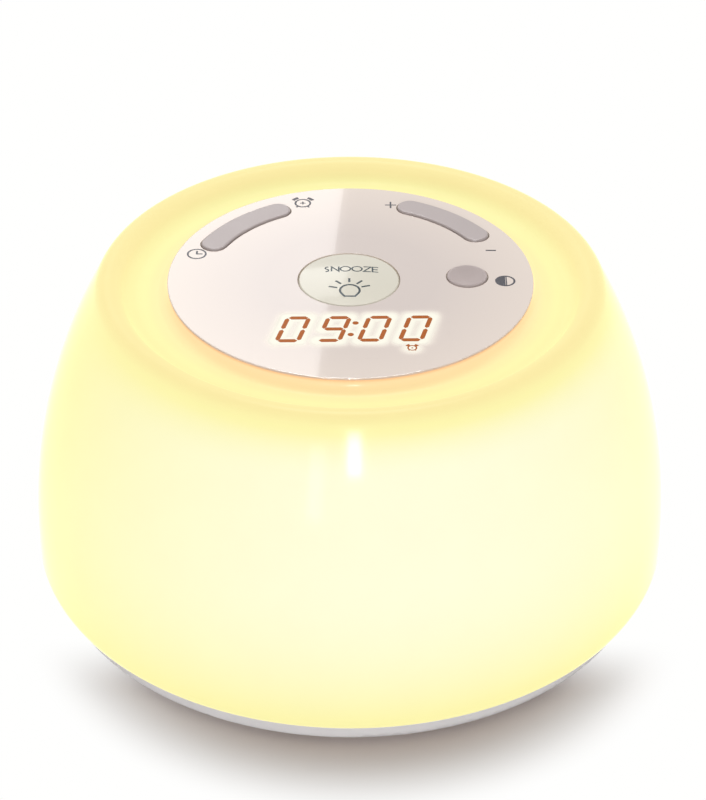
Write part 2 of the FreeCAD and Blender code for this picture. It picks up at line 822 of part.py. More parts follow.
def pivot_ears(span):
    """Two ears under the panel that carry a rocker's pivot."""
    angle = rocker_middle(span)
    skirt = rocker_skirt_width / 2 + ear_gap
    drop = pivot_z - ear_half_width
    ears = []
    for near in (rocker_ring - skirt - ear_thick, rocker_ring + skirt):
        ear = block(near, near + ear_thick, -ear_half_width, ear_half_width, pivot_z, panel_under)
        tip = Part.makeCylinder(ear_half_width, ear_thick, FreeCAD.Vector(near, 0, pivot_z), FreeCAD.Vector(1, 0, 0))
        ears.append(turned(ear.fuse(tip), angle))
    bore = pivot_rod(angle, rocker_ring - skirt - ear_thick, rocker_ring + skirt + ear_thick,
                     trunnion_radius + trunnion_clearance)
    return [ear.cut(bore) for ear in ears]


def guide_ring(place, radius):
    """The collar under the panel that guides a round key."""
    low = panel_under - guide_depth
    return rod(place[0], place[1], low, panel_under, radius + key_gap + guide_wall)


def make_panel():
    """The glossy control panel with its key openings, guides, pivot ears and screw bosses."""
    disc = Outline(0, panel_under)
    disc.line(plug_radius, panel_under)
    disc.line(plug_radius, collar_top)
    disc.line(panel_radius, collar_top)
    disc.line(panel_radius, panel_top - panel_edge_round)
    disc.arc((panel_radius - panel_edge_round, panel_top - panel_edge_round), panel_edge_round, 0, 90)
    disc.line(0, panel_top)
    panel = disc.spin()
    adds = rods_on_ring(tray_screw_ring, tray_screw_angles, control_board_top, panel_under, tray_boss_radius)
    adds += [guide_ring(snooze_place, snooze_radius), guide_ring(dimmer_place, dimmer_radius)]
    adds += pivot_ears(left_rocker) + pivot_ears(right_rocker)
    panel = panel.fuse(adds)
    low = panel_under - guide_depth
    cuts = [
        rod(snooze_place[0], snooze_place[1], low, panel_top, snooze_radius + key_gap),
        rod(dimmer_place[0], dimmer_place[1], low, panel_top, dimmer_radius + key_gap),
    ]
    for span in (left_rocker, right_rocker):
        cuts.append(arc_band(rocker_ring, rocker_width + 2 * key_gap, span[0], span[1], panel_under, panel_top))
    cuts += rods_on_ring(tray_screw_ring, tray_screw_angles, control_board_top, panel_under - tray_floor,
                         screw_radius + screw_clearance)
    return panel.cut(cuts).removeSplitter()


def hollow_key(place, radius, top, rise):
    """A round key: crowned or dished cap, skirt, retaining flange, and a stem on its switch."""
    flange_top = panel_under - guide_depth - key_gap
    bottom = flange_top - key_flange_thick
    roof = panel_top - key_wall - max(0.0, -rise)
    key = Outline(0, roof)
    key.line(radius - key_wall, roof)
    key.line(radius - key_wall, bottom)
    key.line(radius + key_flange, bottom)
    key.line(radius + key_flange, flange_top)
    key.line(radius, flange_top)
    key.line(radius, top - panel_edge_round)
    key.line(radius - panel_edge_round, top)
    key.crown(rise)
    solid = key.spin().fuse(rod(0, 0, plunger_top, roof, stem_radius))
    solid.translate(FreeCAD.Vector(place[0], place[1], 0))
    return solid.removeSplitter()


def make_snooze():
    """The large crowned snooze key."""
    return hollow_key(snooze_place, snooze_radius, panel_top, snooze_dome)


def make_dimmer():
    """The small dished brightness key."""
    return hollow_key(dimmer_place, dimmer_radius, panel_top + dimmer_rise, -dimmer_dish)


def make_rocker(span):
    """A curved rocker key: rounded cap, hollow skirt, pivot pin and a nib over each switch."""
    top = panel_top + rocker_rise
    middle = rocker_middle(span)
    cap = arc_band(rocker_ring, rocker_width, span[0], span[1], rocker_cap_low, top)
    rim = [edge for edge in cap.Edges if edge.BoundBox.ZMin > top - 1e-6]
    cap = cap.makeFillet(rocker_round, rim)
    skirt_low = panel_top - rocker_skirt_depth
    skirt = arc_band(rocker_ring, rocker_skirt_width, span[0], span[1], skirt_low, rocker_cap_low)
    core = arc_band(rocker_ring, rocker_skirt_width - 2 * key_wall, span[0], span[1], skirt_low, rocker_cap_low)
    reach = rocker_skirt_width / 2 + ear_gap + ear_thick
    web_half = (rocker_skirt_width - key_wall) / 2
    web = block(rocker_ring - web_half, rocker_ring + web_half, -trunnion_radius, trunnion_radius,
                pivot_z, rocker_cap_low)
    key = cap.fuse(skirt.cut(core)).fuse(turned(web, middle))
    key = key.fuse(pivot_rod(middle, rocker_ring - reach, rocker_ring + reach, trunnion_radius))
    for offset in (-rocker_switch_angle, rocker_switch_angle):
        place = on_ring(rocker_ring, middle + offset)
        key = key.fuse(rod(place.x, place.y, plunger_top, rocker_cap_low, stem_radius / 2))
    return key.removeSplitter()


def rocker_switch_places(span):
    """The plan points and turn of the two switches under a rocker."""
    middle = rocker_middle(span)
    offsets = (-rocker_switch_angle, rocker_switch_angle)
    return [(on_ring(rocker_ring, middle + offset), middle + offset) for offset in offsets]


def all_switch_places():
    """Every switch as a plan point and a turn."""
    places = [(FreeCAD.Vector(snooze_place[0], snooze_place[1], 0), 0.0)]
    places.append((FreeCAD.Vector(dimmer_place[0], dimmer_place[1], 0), 0.0))
    return places + rocker_switch_places(left_rocker) + rocker_switch_places(right_rocker)


def make_switch_bodies():
    """Six switch bodies, each with the well its plunger sinks into."""
    bodies = []
    well = plunger_depth + plunger_space
    for place, angle in all_switch_places():
        body = centred_block(place.x, place.y, switch_side, switch_side, control_board_top, switch_top)
        body = body.cut(rod(place.x, place.y, switch_top - well, switch_top, plunger_radius + plunger_clearance))
        bodies.append(turned(body, angle, place))
    return Part.makeCompound(bodies)


def make_plunger(place):
    """One switch plunger, standing in its well."""
    return rod(place.x, place.y, switch_top - plunger_depth, plunger_top, plunger_radius)


def make_control_board():
    """The board under the keys, which carries the switches and the display."""
    board = rod(0, 0, control_board_z, control_board_top, tray_inner - board_edge_gap)
    return board.cut(rods_on_ring(tray_screw_ring, tray_screw_angles, control_board_z, control_board_top,
                                  screw_radius + screw_clearance))


def digit_point(left, across, up):
    """A point on the middle line of a slanted figure's bars, from shares of its width and height."""
    x = left + segment_width / 2 + across * (digit_width - segment_width) + up * digit_slant
    return x, digit_foot + segment_width / 2 + up * (digit_height - segment_width)


def segment_bar(left, start, end):
    """One bar of a figure as a flat six-sided face between two corners of the figure."""
    ax, ay = digit_point(left, *start)
    bx, by = digit_point(left, *end)
    length = math.hypot(bx - ax, by - ay)
    ux, uy = (bx - ax) / length, (by - ay) / length
    half = segment_width / 2
    z = panel_under - filter_thick - segment_depth
    near, far = segment_gap, length - segment_gap
    shape = [(near, 0), (near + half, half), (far - half, half), (far, 0), (far - half, -half), (near + half, -half)]
    return polygon([FreeCAD.Vector(ax + s * ux - t * uy, ay + s * uy + t * ux, z) for s, t in shape])


def make_segments():
    """The bars of four figures and the colon, as the light pipes in the display's face."""
    corners = ((0, 0), (1, 0), (0, 0.5), (1, 0.5), (0, 1), (1, 1))
    pairs = ((0, 1), (2, 3), (4, 5), (0, 2), (2, 4), (1, 3), (3, 5))
    up = FreeCAD.Vector(0, 0, segment_depth)
    bars = []
    for index in range(4):
        left = digit_left + index * digit_pitch
        for first, second in pairs:
            bars.append(segment_bar(left, corners[first], corners[second]).extrude(up))
    high = panel_under - filter_thick
    for x, y in colon_places:
        bars.append(rod(x, y, high - segment_depth, high, colon_radius))
    return Part.makeCompound(bars)


def make_display(segments):
    """The display block on the control board, with a window for each bar."""
    x, y = display_place
    high = panel_under - filter_thick
    block_solid = centred_block(x, y, display_size[0], display_size[1], control_board_top, high)
    return block_solid.cut(segments.Solids)


def make_filter():
    """The film between the display and the panel."""
    x, y = display_place
    return centred_block(x, y, display_size[0], display_size[1], panel_under - filter_thick, panel_under)


def make_connectors():
    """The two ribbon connectors, one under the control board and one on the lamp board."""
    upper = centred_block(0, upper_connector_y, connector_length, connector_width,
                          control_board_z - connector_height, control_board_z)
    lower = centred_block(0, lower_connector_y, connector_length, connector_width,
                          lamp_board_top, lamp_board_top + connector_height)
    return Part.makeCompound([upper, lower])


def make_ribbon():
    """The flat ribbon between the two connectors, in one easy S bend."""
    high = control_board_z - connector_height
    low = lamp_board_top + connector_height
    third = (high - low) / 3
    points = [
        FreeCAD.Vector(0, upper_connector_y, high),
        FreeCAD.Vector(0, upper_connector_y, high - third),
        FreeCAD.Vector(0, lower_connector_y, low + third),
        FreeCAD.Vector(0, lower_connector_y, low),
    ]
    path = rounded_path(points, ribbon_bend)
    half, thin = ribbon_width / 2, ribbon_thick / 2
    corners = [(-half, -thin), (half, -thin), (half, thin), (-half, thin)]
    section = [points[0] + FreeCAD.Vector(dx, dy, 0) for dx, dy in corners]
    return path.makePipeShell([Part.makePolygon(section + section[:1])], True, False)


def make_jack_leads():
    """Two leads from the inlet's back to the lamp board's underside."""
    land = lamp_board_radius - 2 * lead_bend
    leads = []
    for side in (-1, 1):
        x = side * lead_spacing / 2
        z = jack_centre_z - lead_bend
        points = [FreeCAD.Vector(x, jack_back, z), FreeCAD.Vector(x, land, z), FreeCAD.Vector(x, land, lamp_board_z)]
        leads.append(tube(points, lead_bend, lead_radius))
    return Part.makeCompound(leads)


def make_speaker_leads():
    """Two leads from the loudspeaker's tab up to the lamp board."""
    rim = speaker_levels()[1]
    start_z = rim + 2 * speaker_rim
    y = speaker_y + speaker_radius - speaker_flange / 2
    leads = []
    for side in (-1, 1):
        x = side * lead_spacing / 2
        bow = side * lead_bend
        third = (lamp_board_z - start_z) / 3
        points = [
            FreeCAD.Vector(x, y, start_z),
            FreeCAD.Vector(x, y, start_z + third),
            FreeCAD.Vector(x + bow, y, start_z + 2 * third),
            FreeCAD.Vector(x + bow, y, lamp_board_z),
        ]
        leads.append(tube(points, lead_bend / 2, lead_radius))
    return Part.makeCompound(leads)


def build_all():
    """Every piece of the clock by node name."""
    segments = make_segments()
    nodes = {
        "diffuser_shade": make_shade(),
        "base_shell": make_base(),
        "rubber_feet": make_feet(),
        "base_screws": make_base_screws(),
        "battery_door": make_door(),
        "aaa_cells": make_cells(),
        "battery_contacts": make_contacts(),
        "speaker_gasket": make_speaker_gasket(),
        "speaker_basket": make_speaker_basket(),
        "speaker_cone": make_speaker_cone(),
        "speaker_magnet": make_speaker_magnet(),
        "power_jack": make_jack(),
        "lamp_board": make_lamp_board(),
        "lamp_board_screws": make_board_screws(),
        "lamp_leds": make_lamp_leds(),
        "board_chips": make_board_chips(),
        "board_capacitors": make_capacitors(),
        "control_tray": make_tray(),
        "tray_screws": make_tray_screws(),
        "control_board": make_control_board(),
        "switch_bodies": make_switch_bodies(),
        "display_module": make_display(segments),
        "display_segments": segments,
        "display_filter": make_filter(),
        "ribbon_connectors": make_connectors(),
        "ribbon_cable": make_ribbon(),
        "jack_leads": make_jack_leads(),
        "speaker_leads": make_speaker_leads(),
        "control_panel": make_panel(),
        "snooze_button": make_snooze(),
        "brightness_button": make_dimmer(),
        "mode_rocker": make_rocker(left_rocker),
        "adjust_rocker": make_rocker(right_rocker),
    }
    plungers = (
        ("snooze_plunger", "brightness_plunger", "alarm_plunger", "clock_plunger", "minus_plunger", "plus_plunger")
    )
    for name, (place, _) in zip(plungers, all_switch_places()):
        nodes[name] = make_plunger(place)
    return nodes


def main():
    """Writes one file for each piece."""
    os.makedirs("parts", exist_ok=True)
    for name, shape in build_all().items():
        shape.exportStep(os.path.join("parts", name + ".step"))
        print(name, len(shape.Solids), "solid(s)", round(shape.Volume / 1000, 2), "cm3",
              "valid" if shape.isValid() else "NOT VALID")


main()
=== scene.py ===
import logging
import math
from collections.abc import Callable, Sequence
from dataclasses import dataclass
from enum import Enum

import bmesh
import bpy
from mathutils import Matrix, Vector

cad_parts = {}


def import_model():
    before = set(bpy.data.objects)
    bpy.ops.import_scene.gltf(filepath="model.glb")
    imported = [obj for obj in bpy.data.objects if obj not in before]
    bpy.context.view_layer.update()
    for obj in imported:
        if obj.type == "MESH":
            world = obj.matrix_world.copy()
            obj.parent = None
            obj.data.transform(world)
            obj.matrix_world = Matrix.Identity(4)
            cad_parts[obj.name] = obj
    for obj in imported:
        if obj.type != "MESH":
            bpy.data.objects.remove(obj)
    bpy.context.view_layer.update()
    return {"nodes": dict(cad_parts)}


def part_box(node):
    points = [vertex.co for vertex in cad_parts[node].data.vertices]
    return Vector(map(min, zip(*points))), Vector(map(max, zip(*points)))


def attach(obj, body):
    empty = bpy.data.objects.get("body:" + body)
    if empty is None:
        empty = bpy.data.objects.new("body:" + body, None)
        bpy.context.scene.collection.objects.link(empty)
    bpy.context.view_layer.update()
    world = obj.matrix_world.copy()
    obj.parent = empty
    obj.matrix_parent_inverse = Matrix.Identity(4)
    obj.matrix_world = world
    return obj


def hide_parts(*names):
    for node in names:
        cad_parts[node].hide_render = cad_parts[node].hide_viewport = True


# Sunrise alarm clock. Lengths in the frame are metres. The sizes below are written in
# millimetres and turned into metres by MM where a mesh is made.

LOG = logging.getLogger("sunrise_clock")
MM = 0.001

Colour = tuple[float, float, float]
Point = tuple[float, float]
Point3 = tuple[float, float, float]


def from_srgb(red: int, green: int, blue: int) -> Colour:
    """A linear colour from screen values.

    Args:
        red: The red value, 0 to 255.
        green: The green value.
        blue: The blue value.

    Returns:
        The linear colour.
    """
    shares = (value / 255 for value in (red, green, blue))
    linear = [s / 12.92 if s <= 0.04045 else ((s + 0.055) / 1.055) ** 2.4 for s in shares]
    return (linear[0], linear[1], linear[2])


def seen_rays(tree: bpy.types.NodeTree) -> bpy.types.NodeSocket:
    """Finds the rays that show a background: camera, glossy and transmission rays.

    Args:
        tree: The nodes to add to.

    Returns:
        A value that is 1 for such a ray.
    """
    path = tree.nodes.new("ShaderNodeLightPath")
    known = path.outputs["Is Camera Ray"]
    for kind in ("Is Glossy Ray", "Is Transmission Ray"):
        either = tree.nodes.new("ShaderNodeMath")
        either.operation = "MAXIMUM"
        tree.links.new(known, either.inputs[0])
        tree.links.new(path.outputs[kind], either.inputs[1])
        known = either.outputs["Value"]
    return known


def blend(first: Colour, second: Colour, share: float) -> Colour:
    """A colour between two others."""
    mixed = [a + (b - a) * share for a, b in zip(first, second)]
    return (mixed[0], mixed[1], mixed[2])


def limited(share: float) -> float:
    """A share kept between 0 and 1."""
    return max(0.0, min(1.0, share))


# Finishes

class Shine(Enum):
    """Named degrees of gloss, each with its roughness and clear-coat weight."""

    POLISH = (0.11, 0.0)
    GLOSS = (0.16, 0.3)
    SATIN = (0.38, 0.15)
    MATT = (0.62, 0.0)
    DULL = (0.85, 0.0)

    @property
    def roughness(self) -> float:
        """The base roughness."""
        return self.value[0]

    @property
    def coat(self) -> float:
        """The weight of the clear coat."""
        return self.value[1]


class ShaderGraph:
    """A new material with its shader and short ways to add and join nodes."""

    def __init__(self, name: str) -> None:
        """Starts a material with one principled shader.

        Args:
            name: The material's name.
        """
        self.material = bpy.data.materials.new(name)
        self.material.use_nodes = True
        self.tree = self.material.node_tree
        self.shader = self.tree.nodes["Principled BSDF"]

    def add(self, kind: str, **inputs: object) -> bpy.types.Node:
        """Adds a node and sets its inputs.

        Args:
            kind: The node's type name.
            **inputs: Values by input name, with underscores for spaces.

        Returns:
            The node.
        """
        node = self.tree.nodes.new(kind)
        for key, value in inputs.items():
            node.inputs[key.replace("_", " ")].default_value = value
        return node

    def join(self, source: bpy.types.NodeSocket, target: bpy.types.NodeSocket) -> None:
        """Links one socket to another."""
        self.tree.links.new(source, target)

    def set(self, socket: str, value: object) -> None:
        """Sets one of the shader's own sockets."""
        self.shader.inputs[socket].default_value = value

    def place(self) -> bpy.types.NodeSocket:
        """The object's own coordinates, which are the frame's."""
        return self.add("ShaderNodeTexCoord").outputs["Object"]

    def axes(self, source: bpy.types.NodeSocket) -> bpy.types.NodeOutputs:
        """The X, Y and Z parts of a vector.

        Args:
            source: The vector.

        Returns:
            The three values by name.
        """
        node = self.add("ShaderNodeSeparateXYZ")
        self.join(source, node.inputs["Vector"])
        return node.outputs

    def plan_distance(self, centre: Point = (0.0, 0.0)) -> bpy.types.NodeSocket:
        """How far the surface lies from an upright line.

        Args:
            centre: The line's plan place in millimetres.

        Returns:
            The distance in metres.
        """
        parts = self.axes(self.place())
        squares = []
        for axis, middle in zip("XY", centre):
            away = self.combine("ADD", parts[axis], -middle * MM)
            squares.append(self.combine("MULTIPLY", away, away))
        return self.combine("POWER", self.combine("ADD", *squares), 0.5)

    def scaled(self, colour: bpy.types.NodeSocket, share: bpy.types.NodeSocket) -> bpy.types.NodeSocket:
        """A colour made weaker by a value.

        Args:
            colour: The colour.
            share: The value.

        Returns:
            The new colour.
        """
        node = self.tree.nodes.new("ShaderNodeVectorMath")
        node.operation = "SCALE"
        self.join(colour, node.inputs[0])
        self.join(share, node.inputs["Scale"])
        return node.outputs["Vector"]

    def noise(self, feature_mm: float, detail: float = 2.0) -> bpy.types.NodeSocket:
        """Noise with features of a real size.

        Args:
            feature_mm: The size of one feature.
            detail: How many finer layers it has.

        Returns:
            The noise value, about 0.5 on average.
        """
        node = self.add("ShaderNodeTexNoise", Scale=1 / (feature_mm * MM), Detail=detail)
        self.join(self.place(), node.inputs["Vector"])
        return node.outputs["Fac"]

    def combine(self, operation: str, first: bpy.types.NodeSocket | float,
                second: bpy.types.NodeSocket | float) -> bpy.types.NodeSocket:
        """The result of a sum on two values.

        Args:
            operation: The sum.
            first: A socket or a number.
            second: A socket or a number.

        Returns:
            The result.
        """
        node = self.tree.nodes.new("ShaderNodeMath")
        node.operation = operation
        for value, socket in zip((first, second), node.inputs):
            if isinstance(value, float):
                socket.default_value = value
            else:
                self.join(value, socket)
        return node.outputs["Value"]

    def span(self, value: bpy.types.NodeSocket, low: float, high: float,
             start: float = 0.3, end: float = 0.7, curve: str = "LINEAR") -> bpy.types.NodeSocket:
        """A value moved from one range to another.

        Args:
            value: The socket it comes from.
            low: The result at the start.
            high: The result at the end.
            start: The value that gives low.
            end: The value that gives high.
            curve: The way from one to the other.

        Returns:
            The new value.
        """
        node = self.add("ShaderNodeMapRange", From_Min=start, From_Max=end, To_Min=low, To_Max=high)
        node.interpolation_type = curve
        self.join(value, node.inputs["Value"])
        return node.outputs["Result"]

    def mix(self, share: bpy.types.NodeSocket, first: Colour, second: Colour) -> bpy.types.NodeSocket:
        """Two colours mixed by a value.

        Args:
            share: The value.
            first: The colour at 0.
            second: The colour at 1.

        Returns:
            The mixed colour.
        """
        node = self.tree.nodes.new("ShaderNodeMix")
        node.data_type = "RGBA"
        for socket in node.inputs:
            if socket.name in ("A", "B") and socket.type == "RGBA":
                socket.default_value = (*(first if socket.name == "A" else second), 1)
        self.join(share, node.inputs["Factor"])
        return next(socket for socket in node.outputs if socket.type == "RGBA")

    def bump(self, height: bpy.types.NodeSocket, depth_mm: float) -> None:
        """Raises the surface by a height value.

        Args:
            height: The value, from 0 to 1.
            depth_mm: The real depth of the relief.
        """
        node = self.add("ShaderNodeBump", Strength=1.0, Distance=depth_mm * MM)
        self.join(height, node.inputs["Height"])
        self.join(node.outputs["Normal"], self.shader.inputs["Normal"])


@dataclass(frozen=True)
class Finish:
    """A named surface finish, whose material is made once."""

    name: str

    def paint(self, graph: ShaderGraph) -> None:
        """Lays the finish on a new material, which each kind of finish does its own way.

        Args:
            graph: The new material's graph.
        """
        raise NotImplementedError

    def material(self) -> bpy.types.Material:
        """The finish as a material.

        Returns:
            The material, which the first call makes.
        """
        known = bpy.data.materials.get(self.name)
        if known is None:
            graph = ShaderGraph(self.name)
            self.paint(graph)
            known = graph.material
        return known


@dataclass(frozen=True)
class Moulding(Finish):
    """Moulded plastic or rubber: an even colour, a fine tool grain and faint handling wear."""

    colour: Colour
    shine: Shine
    grain_mm: float = 0.35
    depth_mm: float = 0.004
    tone: float = 0.05

    def paint(self, graph: ShaderGraph) -> None:
        """Lays the colour, the grain and the handling wear.

        Args:
            graph: The new material's graph.
        """
        darker = blend(self.colour, (0, 0, 0), self.tone)
        colour = graph.mix(graph.span(graph.noise(18.0), 0, 1), darker, self.colour)
        graph.join(colour, graph.shader.inputs["Base Color"])
        rough = self.shine.roughness
        wear = graph.span(graph.noise(6.0, 4), rough * 0.88, rough * 1.12)
        graph.join(wear, graph.shader.inputs["Roughness"])
        graph.set("Coat Weight", self.shine.coat)
        graph.set("Coat Roughness", 0.02)
        graph.bump(graph.noise(self.grain_mm), self.depth_mm)


@dataclass(frozen=True)
class PanelWithPaintedGlow(Finish):
    """Glossy moulding whose face is painted lighter and warmer towards its rim and whose side faces are
    painted to glow: painted light from the lit shade, not from the lamps.
    """

    # Face colours: the middle, and the rim, which is painted lighter and warmer as painted light. Then the
    # painted glow of the outer side face and of the key openings' side faces.
    middle: Colour
    rim: Colour
    edge: Colour
    key_hole_painted_glow: Colour
    rim_from_mm: float
    rim_to_mm: float
    side_facing: Point = (0.4, 0.9)
    face_roughness: Point = (0.045, 0.055)
    ripple_mm: float = 1.2
    ripple_depth_mm: float = 0.0002

    def paint(self, graph: ShaderGraph) -> None:
        """Lays the face's painted warm rim light, the side faces' painted glow and the gloss.

        Args:
            graph: The new material's graph.
        """
        # Painted light: the face turns from the middle colour to the lighter, warmer rim colour towards its
        # edge.
        radius = graph.plan_distance()
        out = graph.span(radius, 0, 1, self.rim_from_mm * MM, self.rim_to_mm * MM)
        graph.join(graph.mix(out, self.middle, self.rim), graph.shader.inputs["Base Color"])
        # Painted glow: faces that do not face up give off the outer glow colour beyond the rim and the dimmer
        # key-opening glow inside it.
        facing = graph.axes(graph.add("ShaderNodeNewGeometry").outputs["Normal"])
        side = graph.span(facing["Z"], 1, 0, *self.side_facing)
        outer = graph.span(radius, 0, 1, self.rim_to_mm * MM, (self.rim_to_mm + 0.1) * MM)
        light = graph.scaled(graph.mix(outer, self.key_hole_painted_glow, self.edge), side)
        graph.join(light, graph.shader.inputs["Emission Color"])
        graph.set("Emission Strength", 1.0)
        rough = graph.span(graph.noise(6.0, 4), *self.face_roughness)
        graph.join(rough, graph.shader.inputs["Roughness"])
        graph.set("Coat Weight", 0.5)
        graph.set("Coat Roughness", 0.015)
        graph.bump(graph.noise(self.ripple_mm), self.ripple_depth_mm)


@dataclass(frozen=True)
class Metal(Finish):
    """Plated or pressed metal with fine draw lines."""

    colour: Colour
    roughness: float = 0.3

    def paint(self, graph: ShaderGraph) -> None:
        """Lays the metal and its draw lines.

        Args:
            graph: The new material's graph.
        """
        tone = graph.mix(graph.span(graph.noise(1.2), 0, 1), blend(self.colour, (0, 0, 0), 0.15), self.colour)
        graph.join(tone, graph.shader.inputs["Base Color"])
        graph.set("Metallic", 1.0)
        rough = graph.span(graph.noise(0.3, 4), self.roughness * 0.75, self.roughness * 1.3)
        graph.join(rough, graph.shader.inputs["Roughness"])
        graph.bump(graph.noise(0.12), 0.003)


@dataclass(frozen=True)
class Glow(Finish):
    """Translucent plastic lit from behind: its light comes from the mesh's own colours."""

    body: Colour
    shine: Shine
    layer: str
    grain_mm: float = 0.8
    spill: float = 0.07
    mirror_level: float = 0.04
    veil: bool = False

    def paint(self, graph: ShaderGraph) -> None:
        """Lays the glow, the body colour and the gloss.

        Args:
            graph: The new material's graph.
        """
        layer = graph.tree.nodes.new("ShaderNodeAttribute")
        layer.attribute_name = self.layer
        haze = graph.mix(graph.span(graph.noise(9.0, 3), 0, 1), (0.985, 0.985, 0.985), (1, 1, 1))
        light = graph.tree.nodes.new("ShaderNodeVectorMath")
        light.operation = "MULTIPLY"
        graph.join(layer.outputs["Color"], light.inputs[0])
        graph.join(haze, light.inputs[1])
        ray = graph.tree.nodes.new("ShaderNodeLightPath")
        spill = graph.span(ray.outputs["Is Diffuse Ray"], 1.0, self.spill, 0.0, 1.0)
        graph.join(graph.scaled(light.outputs["Vector"], spill), graph.shader.inputs["Emission Color"])
        graph.set("Emission Strength", 1.0)
        tone = graph.mix(graph.span(graph.noise(14.0), 0, 1), blend(self.body, (0, 0, 0), 0.03), self.body)
        graph.join(tone, graph.shader.inputs["Base Color"])
        if self.veil:
            graph.join(layer.outputs["Alpha"], graph.shader.inputs["Alpha"])
            graph.set("Roughness", self.shine.roughness)
        else:
            rough = graph.span(layer.outputs["Alpha"], Shine.SATIN.roughness, self.shine.roughness, 0.0, 1.0)
            haze_rough = graph.span(graph.noise(5.0, 3), -0.01, 0.01)
            graph.join(graph.combine("ADD", rough, haze_rough), graph.shader.inputs["Roughness"])
        graph.set("Specular IOR Level", self.mirror_level)
        graph.set("Coat Weight", self.shine.coat)
        graph.set("Coat Roughness", 0.03)
        graph.bump(graph.noise(self.grain_mm), 0.0008)


@dataclass(frozen=True)
class Print(Finish):
    """Ink or lit resin seen through the gloss, with a slightly uneven tone."""

    colour: Colour
    light: float = 0.0
    mirror_level: float = 0.5

    def paint(self, graph: ShaderGraph) -> None:
        """Lays the ink or resin.

        Args:
            graph: The new material's graph.
        """
        tone = graph.mix(graph.span(graph.noise(0.5), 0, 1), blend(self.colour, (0, 0, 0), 0.12), self.colour)
        graph.join(tone, graph.shader.inputs["Base Color"])
        graph.join(tone, graph.shader.inputs["Emission Color"])
        graph.set("Emission Strength", self.light)
        graph.set("Specular IOR Level", self.mirror_level)
        graph.join(graph.span(graph.noise(1.5), 0.2, 0.3), graph.shader.inputs["Roughness"])


@dataclass(frozen=True)
class Jacket(Finish):
    """A dry cell's plain sleeve: dark, with a brighter band towards one end."""

    dark: Colour
    band: Colour
    band_start_mm: float
    band_edge_mm: float = 0.2

    def paint(self, graph: ShaderGraph) -> None:
        """Lays the sleeve and its band.

        Args:
            graph: The new material's graph.
        """
        start = self.band_start_mm * MM
        share = graph.span(graph.axes(graph.place())["X"], 0, 1, start, start + self.band_edge_mm * MM)
        graph.join(graph.mix(share, self.dark, self.band), graph.shader.inputs["Base Color"])
        graph.join(graph.span(graph.noise(3.0), 0.2, 0.34), graph.shader.inputs["Roughness"])
        graph.bump(graph.noise(0.6), 0.002)


PANEL_WHITE = from_srgb(213, 201, 195)
HALO_BODY = from_srgb(150, 146, 136)
HALO_LIT = from_srgb(255, 253, 238)
SHADE_BODY = from_srgb(150, 147, 118)
BASE_PLASTIC = Moulding("base_satin_white", from_srgb(248, 246, 250), Shine.SATIN, 0.5, 0.006)
TRAY_PLASTIC = Moulding("tray_white", from_srgb(226, 224, 220), Shine.MATT, 0.6, 0.006)
RUBBER = Moulding("foot_rubber", from_srgb(46, 46, 48), Shine.DULL, 0.3, 0.02, 0.2)
BLACK_PLASTIC = Moulding("black_plastic", from_srgb(34, 34, 37), Shine.MATT, 0.3, 0.006, 0.1)
KEY_GREY = Moulding("key_satin_grey", from_srgb(174, 163, 162), Shine.SATIN, 0.28, 0.006, 0.06)
DISH_GREY = Moulding("key_matt_grey", from_srgb(186, 174, 172), Shine.DULL, 0.28, 0.006, 0.06)
SNOOZE_PEARL = Moulding("snooze_pearl", from_srgb(219, 215, 200), Shine.GLOSS, 0.9, 0.0006, 0.03)
# The panel's gloss, with its painted rim light and painted side glow.
PANEL_GLOSS_PAINTED_GLOW = PanelWithPaintedGlow("panel_gloss", PANEL_WHITE, from_srgb(228, 215, 205), from_srgb(124, 84, 58),
                       from_srgb(104, 98, 90), 22.0, 46.6)
BOARD = Moulding("board_mask", from_srgb(228, 232, 224), Shine.SATIN, 0.8, 0.004)
FOAM = Moulding("foam", from_srgb(30, 30, 32), Shine.DULL, 0.5, 0.08, 0.3)
PAPER = Moulding("cone_paper", from_srgb(44, 43, 44), Shine.DULL, 0.7, 0.05, 0.2)
FILM = Moulding("smoked_film", from_srgb(160, 150, 142), Shine.GLOSS, 0.8, 0.001)
RIBBON = Moulding("ribbon_grey", from_srgb(168, 168, 170), Shine.MATT, 0.6, 0.01)
RED_SLEEVE = Moulding("lead_sleeve", from_srgb(170, 44, 38), Shine.SATIN, 0.5, 0.004)
STEEL = Metal("plated_steel", from_srgb(196, 198, 202))
NICKEL = Metal("bright_nickel", from_srgb(214, 212, 206), 0.22)
FERRITE = Moulding("sintered_ferrite", from_srgb(58, 58, 61), Shine.MATT, 0.25, 0.02, 0.2)
CELL_SLEEVE = Jacket("cell_sleeve", from_srgb(52, 55, 62), from_srgb(188, 182, 170), 12.0)
LIT_RESIN = Print("lit_resin", from_srgb(255, 244, 200), 0.9)
LIT_AMBER = Print("lit_amber", from_srgb(158, 84, 26), 0.32, 0.1)
PANEL_INK = Print("panel_ink", from_srgb(58, 56, 66))
TEAL_INK = Print("teal_ink", from_srgb(22, 46, 54))


# Mesh tools

@dataclass(frozen=True)
class ClockFrame:
    """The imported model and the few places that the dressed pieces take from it."""

    nodes: dict[str, bpy.types.Object]

    def top(self, node: str) -> float:
        """The highest point of a node, in metres."""
        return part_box(node)[1].z

    def dress(self, finish: Finish, *names: str) -> None:
        """Gives CAD nodes a finish.

        Args:
            finish: The finish.
            *names: The nodes.
        """
        for name in names:
            for slot in self.nodes[name].material_slots:
                slot.material = finish.material()
            LOG.info("dressed %s in %s", name, finish.name)


def arc(centre: Point, radius: float, start: float, end: float, steps: int) -> list[Point]:
    """Points along an arc, with angles in degrees."""
    turns = (math.radians(start + (end - start) * i / steps) for i in range(steps + 1))
    return [(centre[0] + radius * math.cos(t), centre[1] + radius * math.sin(t)) for t in turns]


